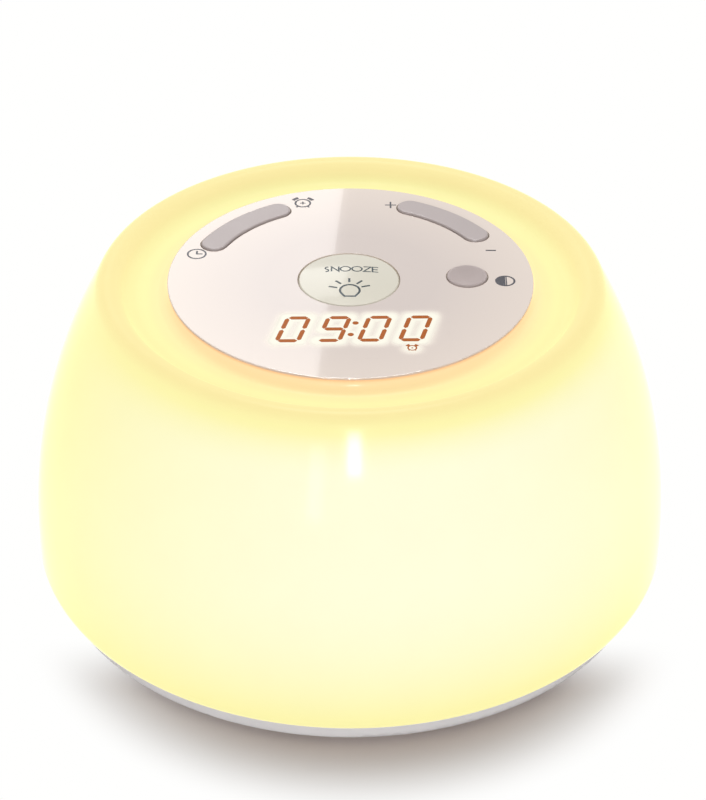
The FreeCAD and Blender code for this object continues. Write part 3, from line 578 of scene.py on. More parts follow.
def add_piece(name: str, mesh: bpy.types.Mesh, finish: Finish, body: str) -> bpy.types.Object:
    """Puts a finished mesh in the scene and lets it ride.

    Args:
        name: The piece's name.
        mesh: Its mesh, in place.
        finish: Its finish.
        body: The CAD body it moves with.

    Returns:
        The new object.
    """
    mesh.name = name
    mesh.materials.append(finish.material())
    piece = bpy.data.objects.new(name, mesh)
    bpy.context.scene.collection.objects.link(piece)
    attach(piece, body)
    LOG.info("built %s with %d faces, rides %s", name, len(mesh.polygons), body)
    return piece


def smooth(mesh: bpy.types.Mesh, edge_angle: float) -> None:
    """Smooth shading with sharp edges past an angle in degrees."""
    mesh.polygons.foreach_set("use_smooth", [True] * len(mesh.polygons))
    mesh.set_sharp_from_angle(angle=math.radians(edge_angle))


def close_mesh(build: bmesh.types.BMesh, name: str) -> bpy.types.Mesh:
    """Writes gathered geometry to a new mesh and lets it go.

    Args:
        build: The geometry.
        name: The mesh's name.

    Returns:
        The mesh.
    """
    mesh = bpy.data.meshes.new(name)
    build.to_mesh(mesh)
    build.free()
    return mesh


def revolve(outline: Sequence[Point], steps: int, centre: Point = (0.0, 0.0)) -> bpy.types.Mesh:
    """A closed outline of radius and height turned about an upright line.

    Args:
        outline: The points in millimetres, in order round the section.
        steps: How many steps a full turn has.
        centre: The plan place of the line.

    Returns:
        The mesh in metres.
    """
    build = bmesh.new()
    rings: list[list[bmesh.types.BMVert]] = []
    for radius, height in outline:
        count = 1 if radius < 1e-6 else steps
        turns = [2 * math.pi * i / steps for i in range(count)]
        rings.append([build.verts.new(((centre[0] + radius * math.cos(t)) * MM,
                                       (centre[1] + radius * math.sin(t)) * MM, height * MM)) for t in turns])
    for first, second in zip(rings, rings[1:] + rings[:1]):
        for i in range(steps):
            loop = [first[i % len(first)], first[(i + 1) % len(first)],
                    second[(i + 1) % len(second)], second[i % len(second)]]
            corners = list(dict.fromkeys(loop))
            if len(corners) > 2:
                build.faces.new(corners)
    bmesh.ops.recalc_face_normals(build, faces=build.faces)
    return close_mesh(build, "revolved")


def subtract(mesh: bpy.types.Mesh, cutter: bpy.types.Mesh) -> bpy.types.Mesh:
    """One mesh with another cut out of it.

    Args:
        mesh: The mesh to cut.
        cutter: What is cut away.

    Returns:
        The mesh that is left.
    """
    body = bpy.data.objects.new("cut_body", mesh)
    tool = bpy.data.objects.new("cut_tool", cutter)
    for item in (body, tool):
        bpy.context.scene.collection.objects.link(item)
    modifier = body.modifiers.new("cut", "BOOLEAN")
    modifier.object = tool
    modifier.solver = "EXACT"
    graph = bpy.context.evaluated_depsgraph_get()
    result = bpy.data.meshes.new_from_object(body.evaluated_get(graph))
    for item in (body, tool):
        bpy.data.objects.remove(item)
    return result


class Pen:
    """Draws flat strokes a hair above a surface and gathers them in one mesh."""

    LONGEST_RUN = 0.6

    def __init__(self, height: Callable[[float, float], float], lift_mm: float = 0.012) -> None:
        """Takes the surface to draw on.

        Args:
            height: The surface's height in millimetres over a plan point.
            lift_mm: How far the ink stands above it.
        """
        self.height = height
        self.lift = lift_mm
        self.build = bmesh.new()

    def vertex(self, x: float, y: float) -> bmesh.types.BMVert:
        """A vertex on the ink's surface."""
        return self.build.verts.new((x * MM, y * MM, (self.height(x, y) + self.lift) * MM))

    def fine(self, points: Sequence[Point], closed: bool) -> list[Point]:
        """The same line with its long runs divided, so that it follows a crowned surface.

        Args:
            points: The plan points.
            closed: True if the line ends where it starts.

        Returns:
            The points, none too far apart.
        """
        ends = [*points[1:], points[0]] if closed else points[1:]
        result: list[Point] = []
        for (x, y), (next_x, next_y) in zip(points, ends):
            parts = max(1, math.ceil(math.dist((x, y), (next_x, next_y)) / self.LONGEST_RUN))
            result += [(x + (next_x - x) * i / parts, y + (next_y - y) * i / parts) for i in range(parts)]
        return result if closed else [*result, points[-1]]

    def stroke(self, points: Sequence[Point], width: float, closed: bool = False) -> None:
        """A line of even width with mitred corners.

        Args:
            points: The plan points in millimetres.
            width: The line's width.
            closed: True if the line ends where it starts.
        """
        points = self.fine(points, closed)
        count = len(points)
        pairs = []
        for i, (x, y) in enumerate(points):
            before = points[i - 1] if closed or i else None
            after = points[(i + 1) % count] if closed or i < count - 1 else None
            ways = []
            if before:
                ways.append(Vector((x - before[0], y - before[1])).normalized())
            if after:
                ways.append(Vector((after[0] - x, after[1] - y)).normalized())
            along = sum(ways, Vector((0, 0))).normalized()
            reach = width / 2 / max(0.35, along.dot(ways[0]))
            side = Vector((-along.y, along.x)) * reach
            pairs.append((self.vertex(x + side.x, y + side.y), self.vertex(x - side.x, y - side.y)))
        for first, second in zip(pairs, pairs[1:] + (pairs[:1] if closed else [])):
            self.build.faces.new((first[0], first[1], second[1], second[0]))

    def patch(self, points: Sequence[Point]) -> None:
        """A filled shape."""
        self.build.faces.new([self.vertex(x, y) for x, y in points])

    def mesh(self) -> bpy.types.Mesh:
        """The finished mesh, facing up.

        Returns:
            The mesh in metres.
        """
        bmesh.ops.triangulate(self.build, faces=[f for f in self.build.faces if len(f.verts) > 4])
        for face in self.build.faces:
            face.normal_update()
            if face.normal.z < 0:
                face.normal_flip()
        return close_mesh(self.build, "ink")


# The shade

@dataclass(frozen=True)
class LightStop:
    """The lit shade's look at a distance down its outside from the collar's rim.

    Colour is what it shows, polish is its gloss and open is the share of the room's light it is taken to get:
    where that share is low, the glow is painted brighter in its place, which is painted light over the shade
    in the collar and dish.
    """

    down_mm: float
    colour: Colour
    polish: float = 1.0
    open: float = 1.0


@dataclass(frozen=True)
class DiffuserShade:
    """The translucent dome: tucked foot, long side curve, rolled crest, dish and flared collar."""

    belly_radius: float = 84.0
    belly_top: float = 17.0
    side_curve: float = 145.0
    turn_radius: float = 5.5
    seam_height: float = 6.8
    wall: float = 2.4
    foot_width: float = 2.4
    crest_rise: float = 0.8
    crest_curve: float = 4.0
    dish_depth: float = 3.7
    dish_curve: float = 4.0
    collar_bore: float = 45.4
    flare: float = 3.2
    flare_radius: float = 50.1
    inlet_z: float = 14.6
    inlet_hole: float = 4.3
    # The painted lit side: the plan direction it faces, how narrowly it is painted, and where down the
    # outside it fades in and out.
    painted_light_way: float = -78.0
    painted_light_power: float = 1.1
    painted_light_from: Point = (25.0, 12.0)
    painted_light_to: Point = (102.0, 42.0)
    hole_length: float = 20.0
    hole_start: float = 5.0
    steps: int = 240

    def outside(self, panel_top: float) -> list[Point]:
        """The outline from the collar's rim down to the seam.

        Args:
            panel_top: The height of the panel's face in millimetres.

        Returns:
            Points of radius and height.
        """
        crest_z = panel_top + self.crest_rise - self.crest_curve
        rise = crest_z - self.belly_top
        reach = math.sqrt((self.side_curve - self.crest_curve) ** 2 - rise ** 2)
        crest_r = self.belly_radius - self.side_curve + reach
        lean = math.degrees(math.atan2(rise, reach))
        floor = panel_top - self.dish_depth
        span = self.dish_curve + self.crest_curve
        slope = math.degrees(math.asin((floor + self.dish_curve - crest_z) / span))
        hollow = (crest_r - span * math.cos(math.radians(slope)), floor + self.dish_curve)
        seam_r = self.belly_radius - self.turn_radius
        points = arc((self.flare_radius, floor + self.flare), self.flare, 180, 270, 12)
        points += [(self.flare_radius + (hollow[0] - self.flare_radius) * i / 6, floor) for i in range(1, 6)]
        points += arc(hollow, self.dish_curve, -90, -slope, 10)
        points += arc((crest_r, crest_z), self.crest_curve, 180 - slope, lean, 22)[1:]
        points += arc((self.belly_radius - self.side_curve, self.belly_top), self.side_curve, lean, 0, 60)[1:]
        points += arc((seam_r, self.seam_height + self.turn_radius), self.turn_radius, 0, -90, 14)
        return points

    def inside(self, panel_top: float) -> list[Point]:
        """The hollow's outline from the seam up to the collar's bore.

        Args:
            panel_top: The height of the panel's face in millimetres.

        Returns:
            Points of radius and height.
        """
        seam_r = self.belly_radius - self.turn_radius
        floor = panel_top - self.dish_depth
        crest_in = panel_top + self.crest_rise - self.crest_curve
        curve = self.side_curve - self.wall
        lean = math.degrees(math.asin((crest_in - self.belly_top) / curve))
        foot = seam_r - self.foot_width
        points = [(foot, self.seam_height), (foot, self.seam_height + self.wall)]
        points += arc((seam_r, self.seam_height + self.turn_radius), self.turn_radius - self.wall, -90, 0, 6)
        points += arc((self.belly_radius - self.side_curve, self.belly_top), curve, 0, lean, 24)
        high = points[-1][0] - self.wall
        points.append((high, crest_in + self.wall / 4))
        points.append((high - (crest_in - floor + self.wall), floor - self.wall))
        points.append((self.collar_bore, floor - self.wall))
        points.append((self.collar_bore, floor + self.flare))
        return points

    def light_stops(self) -> list[LightStop]:
        """The lit colours: ember at the collar, honey in the dish, amber on the crest, honey below.

        Returns:
            The stops, from the collar down.
        """
        rim = from_srgb(250, 188, 134)
        ember = from_srgb(255, 220, 166)
        amber = from_srgb(254, 239, 171)
        honey = from_srgb(255, 248, 177)
        return [
            LightStop(0.0, rim, 0.8, 0.4), LightStop(0.9, ember, 0.8, 0.45),
            LightStop(2.4, blend(ember, amber, 0.3), 0.8, 0.5),
            LightStop(5.5, blend(ember, honey, 0.7), 0.2, 0.8), LightStop(8.0, honey, 0.0, 0.9),
            LightStop(11.0, honey, 0.0), LightStop(15.0, amber, 0.0), LightStop(20.0, amber, 0.3),
            LightStop(25.0, honey), LightStop(112.0, honey),
        ]

    def light_at(self, down: float, angle: float) -> LightStop:
        """The lit look of a point of the outside.

        Args:
            down: Its distance down the outside from the collar's rim, in millimetres.
            angle: Its direction in plan, in degrees.

        Returns:
            The look, blended from the stops on both sides of it, and painted paler on one side of the dome: a
            painted lit side, not light from a lamp.
        """
        stops = self.light_stops()
        after = next((stop for stop in stops if stop.down_mm >= down), stops[-1])
        before = stops[max(0, stops.index(after) - 1)]
        share = limited((down - before.down_mm) / max(0.001, after.down_mm - before.down_mm))
        share = share * share * (3 - 2 * share)
        # Painted light: towards one side, and lower down, the glow is painted paler, as a lit side would
        # look.
        pale = from_srgb(255, 254, 221)
        facing = max(0.0, math.cos(math.radians(angle - self.painted_light_way))) ** self.painted_light_power
        low = limited((down - self.painted_light_from[0]) / self.painted_light_from[1])
        low *= limited((self.painted_light_to[0] - down) / self.painted_light_to[1])
        colour = blend(blend(before.colour, after.colour, share), pale, facing * low * (2 - low))
        polish = before.polish + (after.polish - before.polish) * share
        return LightStop(down, colour, polish, before.open + (after.open - before.open) * share)

    def build(self, clock: ClockFrame, studio: "Studio") -> None:
        """Makes the dome, paints its light and puts it in place of the CAD node.

        Args:
            clock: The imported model.
            studio: The stage, whose own light is taken off what the dome gives.
        """
        panel_top = clock.top("control_panel") / MM
        outside = self.outside(panel_top)
        mesh = revolve(outside + self.inside(panel_top), self.steps)
        far = self.hole_length
        hole = revolve([(0, 0), (self.inlet_hole, 0), (self.inlet_hole, far), (0, far)], 48)
        outside_wall = self.belly_radius * MM + self.hole_start * MM
        hole.transform(Matrix.Translation((0, outside_wall, self.inlet_z * MM))
                       @ Matrix.Rotation(math.radians(90), 4, "X"))
        mesh = subtract(mesh, hole)
        smooth(mesh, 35)
        downs = [0.0]
        for first, second in zip(outside, outside[1:]):
            downs.append(downs[-1] + math.dist(first, second))
        layer = mesh.color_attributes.new("lit", "FLOAT_COLOR", "POINT")
        known: dict[Point, float] = {}
        for index, vertex in enumerate(mesh.vertices):
            x, y, z = (value / MM for value in vertex.co)
            key = (round(math.hypot(x, y), 2), round(z, 2))
            if key not in known:
                nearest = min(range(len(outside)), key=lambda i: math.dist(outside[i], key))
                known[key] = downs[nearest]
            look = self.light_at(known[key], math.degrees(math.atan2(y, x)))
            # Painted light: the glow is the stop's colour less the light the lamps give this facing, so the
            # painted emission evens out the lamps' shading, and does so more where open is low.
            day = studio.light_on(vertex.normal) * look.open
            lit = [max(0.0, part - body * day) for part, body in zip(look.colour, SHADE_BODY)]
            layer.data[index].color = (*lit, look.polish)
        piece = add_piece("diffuser_dome", mesh, Glow("shade_glow", SHADE_BODY, Shine.POLISH, "lit"),
                          "clock_body")
        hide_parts("diffuser_shade")


# The base and what is in it

@dataclass(frozen=True)
class BaseUnit:
    """The white base, its feet, screws and battery door, and the parts inside."""

    screw_ring: float = 69.0
    screw_angles: tuple[float, ...] = (20.0, 160.0, 200.0, 340.0)
    head_radius: float = 2.6
    head_height: float = 1.8
    shank_radius: float = 1.25
    slot_width: float = 0.55
    slot_reach: float = 1.7
    slot_depth: float = 0.9
    slot_turn: float = 20.0
    head_round: float = 0.7
    thread_pitch: float = 0.9
    thread_depth: float = 0.22
    tip: float = 0.8

    def screw_head(self, centre: Point, low: float, high: float) -> bpy.types.Mesh:
        """One pan-head screw with a cross recess.

        Args:
            centre: Its plan place in millimetres.
            low: The height of its head's face.
            high: The height of its tip.

        Returns:
            The mesh in metres.
        """
        shoulder = low + self.head_height
        outline = [(0, low)]
        corner = (self.head_radius - self.head_round, low + self.head_round)
        outline += arc(corner, self.head_round, -90, 0, 5)
        outline += [(self.head_radius, shoulder), (self.shank_radius, shoulder)]
        thread = shoulder
        while thread + self.thread_pitch < high - 1.5 * self.tip:
            outline += [(self.shank_radius, thread + self.thread_pitch / 3),
                        (self.shank_radius - self.thread_depth, thread + self.thread_pitch * 2 / 3),
                        (self.shank_radius, thread + self.thread_pitch)]
            thread += self.thread_pitch
        outline += [(self.shank_radius, high - self.tip), (0.5, high), (0, high)]
        mesh = revolve(outline, 32, centre)
        for turn in (0, 90):
            mesh = subtract(mesh, self.recess_bar(centre, low, turn))
        return mesh

    def recess_bar(self, centre: Point, low: float, turn: float) -> bpy.types.Mesh:
        """One bar of the cross recess, with tapered ends.

        Args:
            centre: The screw's plan place in millimetres.
            low: The height of its head's face.
            turn: The way the bar runs, in degrees.

        Returns:
            The mesh to cut away.
        """
        build = bmesh.new()
        way = Matrix.Rotation(math.radians(turn + self.slot_turn), 2)
        rings = []
        for depth, reach in ((-0.5, self.slot_reach), (self.slot_depth, self.slot_reach * 0.45)):
            ring = []
            for sx, sy in ((-1, -1), (1, -1), (1, 1), (-1, 1)):
                spot = way @ Vector((sx * reach, sy * self.slot_width / 2))
                ring.append(build.verts.new(((centre[0] + spot.x) * MM, (centre[1] + spot.y) * MM,
                                             (low + depth) * MM)))
            rings.append(ring)
        for ring in rings:
            build.faces.new(ring)
        for i in range(4):
            build.faces.new((rings[0][i], rings[0][(i + 1) % 4], rings[1][(i + 1) % 4], rings[1][i]))
        bmesh.ops.recalc_face_normals(build, faces=build.faces)
        return close_mesh(build, "recess")

    def build_screws(self) -> None:
        """Makes the four base screws in place of the plain CAD ones."""
        low, high = (corner.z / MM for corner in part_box("base_screws"))
        gathered = bmesh.new()
        for angle in self.screw_angles:
            turn = math.radians(angle)
            centre = (self.screw_ring * math.cos(turn), self.screw_ring * math.sin(turn))
            gathered.from_mesh(self.screw_head(centre, low, high))
        mesh = close_mesh(gathered, "screws")
        smooth(mesh, 35)
        piece = add_piece("cross_head_screws", mesh, STEEL, "clock_body")
        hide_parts("base_screws")

    def build(self, clock: ClockFrame) -> None:
        """Dresses the base and its inside.

        Args:
            clock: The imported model.
        """
        clock.dress(BASE_PLASTIC, "base_shell", "battery_door")
        clock.dress(RUBBER, "rubber_feet")
        clock.dress(CELL_SLEEVE, "aaa_cells")
        clock.dress(NICKEL, "battery_contacts")
        clock.dress(BLACK_PLASTIC, "power_jack", "board_chips", "board_capacitors")
        clock.dress(FOAM, "speaker_gasket")
        clock.dress(STEEL, "speaker_basket", "lamp_board_screws")
        clock.dress(PAPER, "speaker_cone")
        clock.dress(FERRITE, "speaker_magnet")
        clock.dress(BOARD, "lamp_board")
        clock.dress(LIT_RESIN, "lamp_leds")
        clock.dress(RED_SLEEVE, "jack_leads", "speaker_leads")
        self.build_screws()


# The panel and its marks

@dataclass(frozen=True)
class PanelMarks:
    """The printed marks beside the keys: generic signs for clock, alarm, more, less and brightness."""

    line: float = 0.52
    clock_at: Point = (-40.0, 12.0)
    alarm_at: Point = (-12.8, 38.7)
    plus_at: Point = (10.7, 37.8)
    minus_at: Point = (36.6, 14.1)
    contrast_at: Point = (39.7, -1.2)
    disc: float = 2.35

    def clock_sign(self, pen: Pen) -> None:
        """A round face with two hands.

        Args:
            pen: The pen to draw with.
        """
        x, y = self.clock_at
        pen.stroke(arc(self.clock_at, self.disc, 0, 360, 48)[:-1], self.line, closed=True)
        pen.stroke([(x, y + 1.5), (x, y), (x + 1.5, y)], self.line)

    def alarm_sign(self, pen: Pen, centre: Point, radius: float, line: float) -> None:
        """A round face with two bells and two feet.

        Args:
            pen: The pen to draw with.
            centre: The face's centre.
            radius: Its radius.
            line: The line's width.
        """
        x, y = centre
        pen.stroke(arc(centre, radius, 0, 360, 40)[:-1], line, closed=True)
        for side in (-1, 1):
            lean = 90 - side * 42
            bell = arc(centre, radius * 1.52, lean - 18, lean + 18, 8)
            pen.stroke(bell, line * 1.9)
            foot = math.radians(-90 + side * 38)
            near, far = radius + line / 2, radius * 1.4
            pen.stroke([(x + near * math.cos(foot), y + near * math.sin(foot)),
                        (x + far * math.cos(foot), y + far * math.sin(foot))], line)

    def cross(self, pen: Pen, centre: Point, across: float, rise: Point, line: float, gap: float) -> None:
        """A cross of one level bar and two upright ones.

        Args:
            pen: The pen to draw with.
            centre: The cross's centre.
            across: How far the level bar reaches each way.
            rise: How far the upright bars reach up and down.
            line: The bars' width.
            gap: Where the upright bars start above and below the centre.
        """
        x, y = centre
        pen.stroke([(x - across, y), (x + across, y)], line)
        pen.stroke([(x, y + gap), (x, y + rise[0])], line)
        pen.stroke([(x, y - rise[1]), (x, y - gap)], line)

    def contrast_sign(self, pen: Pen) -> None:
        """A ring whose left half is filled.

        Args:
            pen: The pen to draw with.
        """
        x, y = self.contrast_at
        pen.stroke(arc(self.contrast_at, self.disc, -90, 90, 24), self.line)
        pen.patch(arc(self.contrast_at, self.disc + self.line / 2, 90, 270, 24))
        pen.stroke([(x + self.line / 2, y - self.disc + self.line / 2),
                    (x + self.line / 2, y + self.disc - self.line / 2)], self.line * 0.6)

    def build(self, clock: ClockFrame) -> None:
        """Draws the marks on the panel's face.

        Args:
            clock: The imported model.
        """
        top = clock.top("control_panel") / MM
        pen = Pen(lambda x, y: top)
        self.clock_sign(pen)
        self.alarm_sign(pen, self.alarm_at, 2.0, self.line)
        self.cross(pen, self.alarm_at, 0.75, (0.9, 0.7), self.line * 0.7, self.line * 0.36)
        self.cross(pen, self.plus_at, 1.5, (1.7, 1.7), self.line * 0.9, self.line * 0.45)
        x, y = self.minus_at
        pen.stroke([(x - 1.35, y), (x + 1.35, y)], self.line)
        self.contrast_sign(pen)
        add_piece("panel_marks", pen.mesh(), PANEL_INK, "clock_body")


class Bar(Enum):
    """The bars of a seven-bar figure, each between two corners given as shares of its size."""

    TOP = ((0, 1), (1, 1))
    UPPER_LEFT = ((0, 0.5), (0, 1))
    UPPER_RIGHT = ((1, 0.5), (1, 1))
    MIDDLE = ((0, 0.5), (1, 0.5))
    LOWER_LEFT = ((0, 0), (0, 0.5))
    LOWER_RIGHT = ((1, 0), (1, 0.5))
    BOTTOM = ((0, 0), (1, 0))


ZERO = frozenset(Bar) - {Bar.MIDDLE}
NINE = frozenset(Bar) - {Bar.LOWER_LEFT}


@dataclass(frozen=True)
class TimeDisplay:
    """The lit figures under the panel, seen as amber bars in a pale halo."""

    figures: tuple[frozenset[Bar], ...] = (ZERO, NINE, ZERO, ZERO)
    left: float = -18.35
    foot: float = -29.65
    pitch: float = 10.2
    width: float = 5.3
    height: float = 10.6
    slant: float = 2.8
    tilt: float = 1.07
    middle: Point = (0.4, -24.2)
    upright_bar: float = 1.15
    level_bar: float = 1.45
    bar_gap: float = 0.16
    colon: tuple[Point, ...] = ((1.3, -21.6), (0.1, -27.0))
    colon_radius: float = 0.8
    alarm_at: Point = (15.3, -33.1)
    window: tuple[float, float, float, float] = (-24.5, 24.5, -38.0, -13.6)
    window_step: float = 0.25
    halo_core: float = 0.9
    halo_reach: float = 1.6
    window_margin: float = 2.5
    window_limit: float = 46.2
    window_lift: float = 0.006
    figure_lift: float = 0.014

    def bars(self) -> list[tuple[Vector, Vector]]:
        """Where the lit bars are.

        Returns:
            The two ends of every bar, in plan millimetres.
        """
        ends = []
        for index, figure in enumerate(self.figures):
            for bar in sorted(figure, key=lambda item: item.name):
                spots = []
                for across, up in bar.value:
                    x = self.left + index * self.pitch + across * self.width + up * self.slant
                    spots.append(self.turned((x, self.foot + up * self.height)))
                ends.append((spots[0], spots[1]))
        return ends

    def turned(self, spot: Point) -> Vector:
        """A plan point turned with the whole row of figures."""
        middle = Vector(self.middle)
        return middle + Matrix.Rotation(math.radians(self.tilt), 2) @ (Vector(spot) - middle)

    def bar_outline(self, start: Vector, end: Vector) -> list[Point]:
        """The outline of one bar.

        Args:
            start: One end of its middle line.
            end: The other end.

        Returns:
            Its six corners.
        """
        along = (end - start).normalized()
        width = self.level_bar if abs(along.x) > abs(along.y) else self.upright_bar
        side = Vector((-along.y, along.x)) * width / 2
        near = start + along * self.bar_gap
        far = end - along * self.bar_gap
        step = along * width / 2
        corners = [near, near + step + side, far - step + side, far, far - step - side, near + step - side]
        return [(corner.x, corner.y) for corner in corners]

    def halo(self, x: float, y: float, ends: list[tuple[Vector, Vector]]) -> float:
        """How bright the halo is at a point.

        Args:
            x: The point's plan place.
            y: The same, towards the back.
            ends: The lit bars.

        Returns:
            The level, 0 to 1.
        """
        spot = Vector((x, y))
        nearest = min((spot - Vector(dot)).length for dot in (*self.colon, self.alarm_at))
        for start, end in ends:
            run = end - start
            share = limited((spot - start).dot(run) / run.length_squared)
            nearest = min(nearest, (spot - start - run * share).length)
        level = math.exp(-((max(0.0, nearest - self.halo_core) / self.halo_reach) ** 2))
        left, right, low, high = self.window
        margin = min(x - left, right - x, y - low, high - y)
        return level * limited(margin / self.window_margin)

    def build_window(self, top: float, ends: list[tuple[Vector, Vector]]) -> None:
        """A clear skin over the panel that carries the halo.

        Args:
            top: The panel's height in millimetres.
            ends: The lit bars.
        """
        left, right, low, high = self.window
        across = round((right - left) / self.window_step)
        deep = round((high - low) / self.window_step)
        build = bmesh.new()
        layer = build.verts.layers.float_color.new("lit")
        rows = []
        for j in range(deep + 1):
            row = []
            for i in range(across + 1):
                x, y = left + i * self.window_step, low + j * self.window_step
                vertex = build.verts.new((x * MM, y * MM, (top + self.window_lift) * MM))
                level = self.halo(x, y, ends)
                glow = [lit + (1 - level) * panel - body
                        for lit, panel, body in zip(HALO_LIT, PANEL_WHITE, HALO_BODY)]
                vertex[layer] = (*glow, level)
                row.append(vertex)
            rows.append(row)
        for first, second in zip(rows, rows[1:]):
            for i in range(across):
                if math.hypot(first[i].co.x, first[i].co.y) < self.window_limit * MM:
                    build.faces.new((first[i], first[i + 1], second[i + 1], second[i]))
        bmesh.ops.delete(build, geom=[v for v in build.verts if not v.link_faces], context="VERTS")
        glow = Glow("window_glow", HALO_BODY, Shine.POLISH, "lit", veil=True)
        add_piece("display_window", close_mesh(build, "window"), glow, "clock_body")

    def build(self, clock: ClockFrame) -> None:
        """Makes the halo and the figures.

        Args:
            clock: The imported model.
        """
        top = clock.top("control_panel") / MM
        ends = self.bars()
        self.build_window(top, ends)
        pen = Pen(lambda x, y: top, self.figure_lift)
        for start, end in ends:
            pen.patch(self.bar_outline(start, end))
        for dot in self.colon:
            pen.patch(arc(dot, self.colon_radius, 0, 360, 24)[:-1])
        PanelMarks().alarm_sign(pen, self.alarm_at, 1.05, 0.38)
        pen.patch(arc(self.alarm_at, 0.25, 0, 360, 12)[:-1])
        add_piece("time_figures", pen.mesh(), LIT_AMBER, "clock_body")


# Keys

class Letter(Enum):
    """The strokes of the capital letters on the snooze key, in shares of a letter's size."""

    S = (tuple(arc((0.5, 0.75), 0.25, 35, 270, 14) + arc((0.5, 0.25), 0.25, 90, -145, 14)[1:]),)
    N = (((0, 0), (0, 1), (1, 0), (1, 1)),)
    O = (tuple(arc((0.5, 0.5), 0.5, 90, 450, 30)),)
    Z = (((0, 1), (1, 1), (0, 0), (1, 0)),)
    E = (((1, 1), (0, 1), (0, 0), (1, 0)), ((0.1, 0.5), (0.9, 0.5)))


@dataclass(frozen=True)
class SnoozeKey:
    """The large crowned key with its word, lamp outline and rays."""

    centre: Point = (-0.4, -0.6)
    crown_radius: float = 12.5
    crown_rise: float = 0.9
    word_left: float = -6.85
    word_right: float = 7.15
    word_foot: float = 2.1
    letter_height: float = 2.5
    letter_line: float = 0.42
    bulb_line: float = 0.58
    bulb_at: Point = (-0.15, -7.0)
    bulb_radius: float = 2.5
    rays: tuple[tuple[Point, Point], ...] = (
        ((-0.3, -1.5), (-0.3, -3.3)), ((-3.8, -2.6), (-2.4, -4.1)), ((-5.55, -5.1), (-3.35, -5.8)),
        ((3.0, -2.5), (1.6, -4.1)), ((5.0, -4.6), (2.8, -5.4)),
    )

    def height(self, x: float, y: float) -> float:
        """The crowned face's height over a plan point.

        Args:
            x: The point's plan place.
            y: The same, towards the back.

        Returns:
            The height in millimetres.
        """
        ball = (self.crown_radius ** 2 + self.crown_rise ** 2) / (2 * self.crown_rise)
        away = math.hypot(x - self.centre[0], y - self.centre[1])
        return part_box("snooze_button")[1].z / MM - ball + math.sqrt(ball ** 2 - away ** 2)

    def write_word(self, pen: Pen) -> None:
        """Writes the word that says what the key does.

        Args:
            pen: The pen to write with.
        """
        word = (Letter.S, Letter.N, Letter.O, Letter.O, Letter.Z, Letter.E)
        shares = (0.78, 0.92, 1.28, 1.28, 0.92, 0.74)
        space = 0.2
        unit = (self.word_right - self.word_left) / (sum(shares) + space * (len(word) - 1))
        x = self.word_left
        for letter, share in zip(word, shares):
            wide = share * unit
            for line in letter.value:
                points = [(x + px * wide, self.word_foot + py * self.letter_height) for px, py in line]
                closed = math.dist(points[0], points[-1]) < 1e-6
                pen.stroke(points[:-1] if closed else points, self.letter_line, closed=closed)
            x += (share + space) * unit

    def draw_lamp(self, pen: Pen) -> None:
        """Draws a lamp bulb, flat at its base, and its rays.

        Args:
            pen: The pen to draw with.
        """
        x, y = self.bulb_at
        bowl = arc(self.bulb_at, self.bulb_radius, -28, 208, 24)
        bowl += [(x - 1.35, y - self.bulb_radius), (x + 1.35, y - self.bulb_radius)]
        pen.stroke(bowl, self.bulb_line, closed=True)
        for start, end in self.rays:
            pen.stroke([start, end], self.bulb_line)

    def build(self, clock: ClockFrame) -> None:
        """Dresses the key and draws its marks.

        Args:
            clock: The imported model.
        """
        clock.dress(SNOOZE_PEARL, "snooze_button")
        pen = Pen(self.height, 0.01)
        self.write_word(pen)
        self.draw_lamp(pen)
        add_piece("snooze_marks", pen.mesh(), TEAL_INK, "snooze_key")


@dataclass(frozen=True)
class BrightnessKey:
    """The small round key with a finger dish."""

    centre: Point = (30.0, 0.9)
    radius: float = 5.2
    rise: float = 0.5
    round_edge: float = 0.45
    dish_depth: float = 1.25
    skirt: float = 2.2

    def build(self, clock: ClockFrame) -> None:
        """Makes the dished cap in place of the CAD key.

        Args:
            clock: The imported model.
        """
        top = clock.top("control_panel") / MM + self.rise
        lip = self.radius - self.round_edge
        bowl = lip - 0.1
        outline = [(0.0, top - self.skirt), (self.radius, top - self.skirt)]
        outline += arc((lip, top - self.round_edge), self.round_edge, 0, 90, 8)
        for step in range(1, 25):
            away = bowl * (1 - step / 24)
            outline.append((away, top - self.dish_depth * (1 - (away / bowl) ** 2)))
        cap = revolve(outline, 96, self.centre)
        smooth(cap, 50)
        piece = add_piece("brightness_cap", cap, DISH_GREY, "brightness_key")
        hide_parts("brightness_button")


@dataclass(frozen=True)
class ControlUnit:
    """The panel, its keys and the tray, boards and switches behind them."""

    def build(self, clock: ClockFrame) -> None:
        """Dresses the panel, the keys and what they work on.

        Args:
            clock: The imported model.
        """
        clock.dress(PANEL_GLOSS_PAINTED_GLOW, "control_panel")
        clock.dress(KEY_GREY, "mode_rocker", "adjust_rocker")
        clock.dress(TRAY_PLASTIC, "control_tray", "ribbon_connectors")
        clock.dress(STEEL, "tray_screws")
        clock.dress(BOARD, "control_board")
        clock.dress(BLACK_PLASTIC, "switch_bodies", "display_module", "snooze_plunger", "brightness_plunger",
                    "alarm_plunger", "clock_plunger", "minus_plunger", "plus_plunger")
        clock.dress(LIT_AMBER, "display_segments")
        clock.dress(FILM, "display_filter")
        clock.dress(RIBBON, "ribbon_cable")
        PanelMarks().build(clock)
        BrightnessKey().build(clock)
        SnoozeKey().build(clock)
        TimeDisplay().build(clock)


# Camera and light

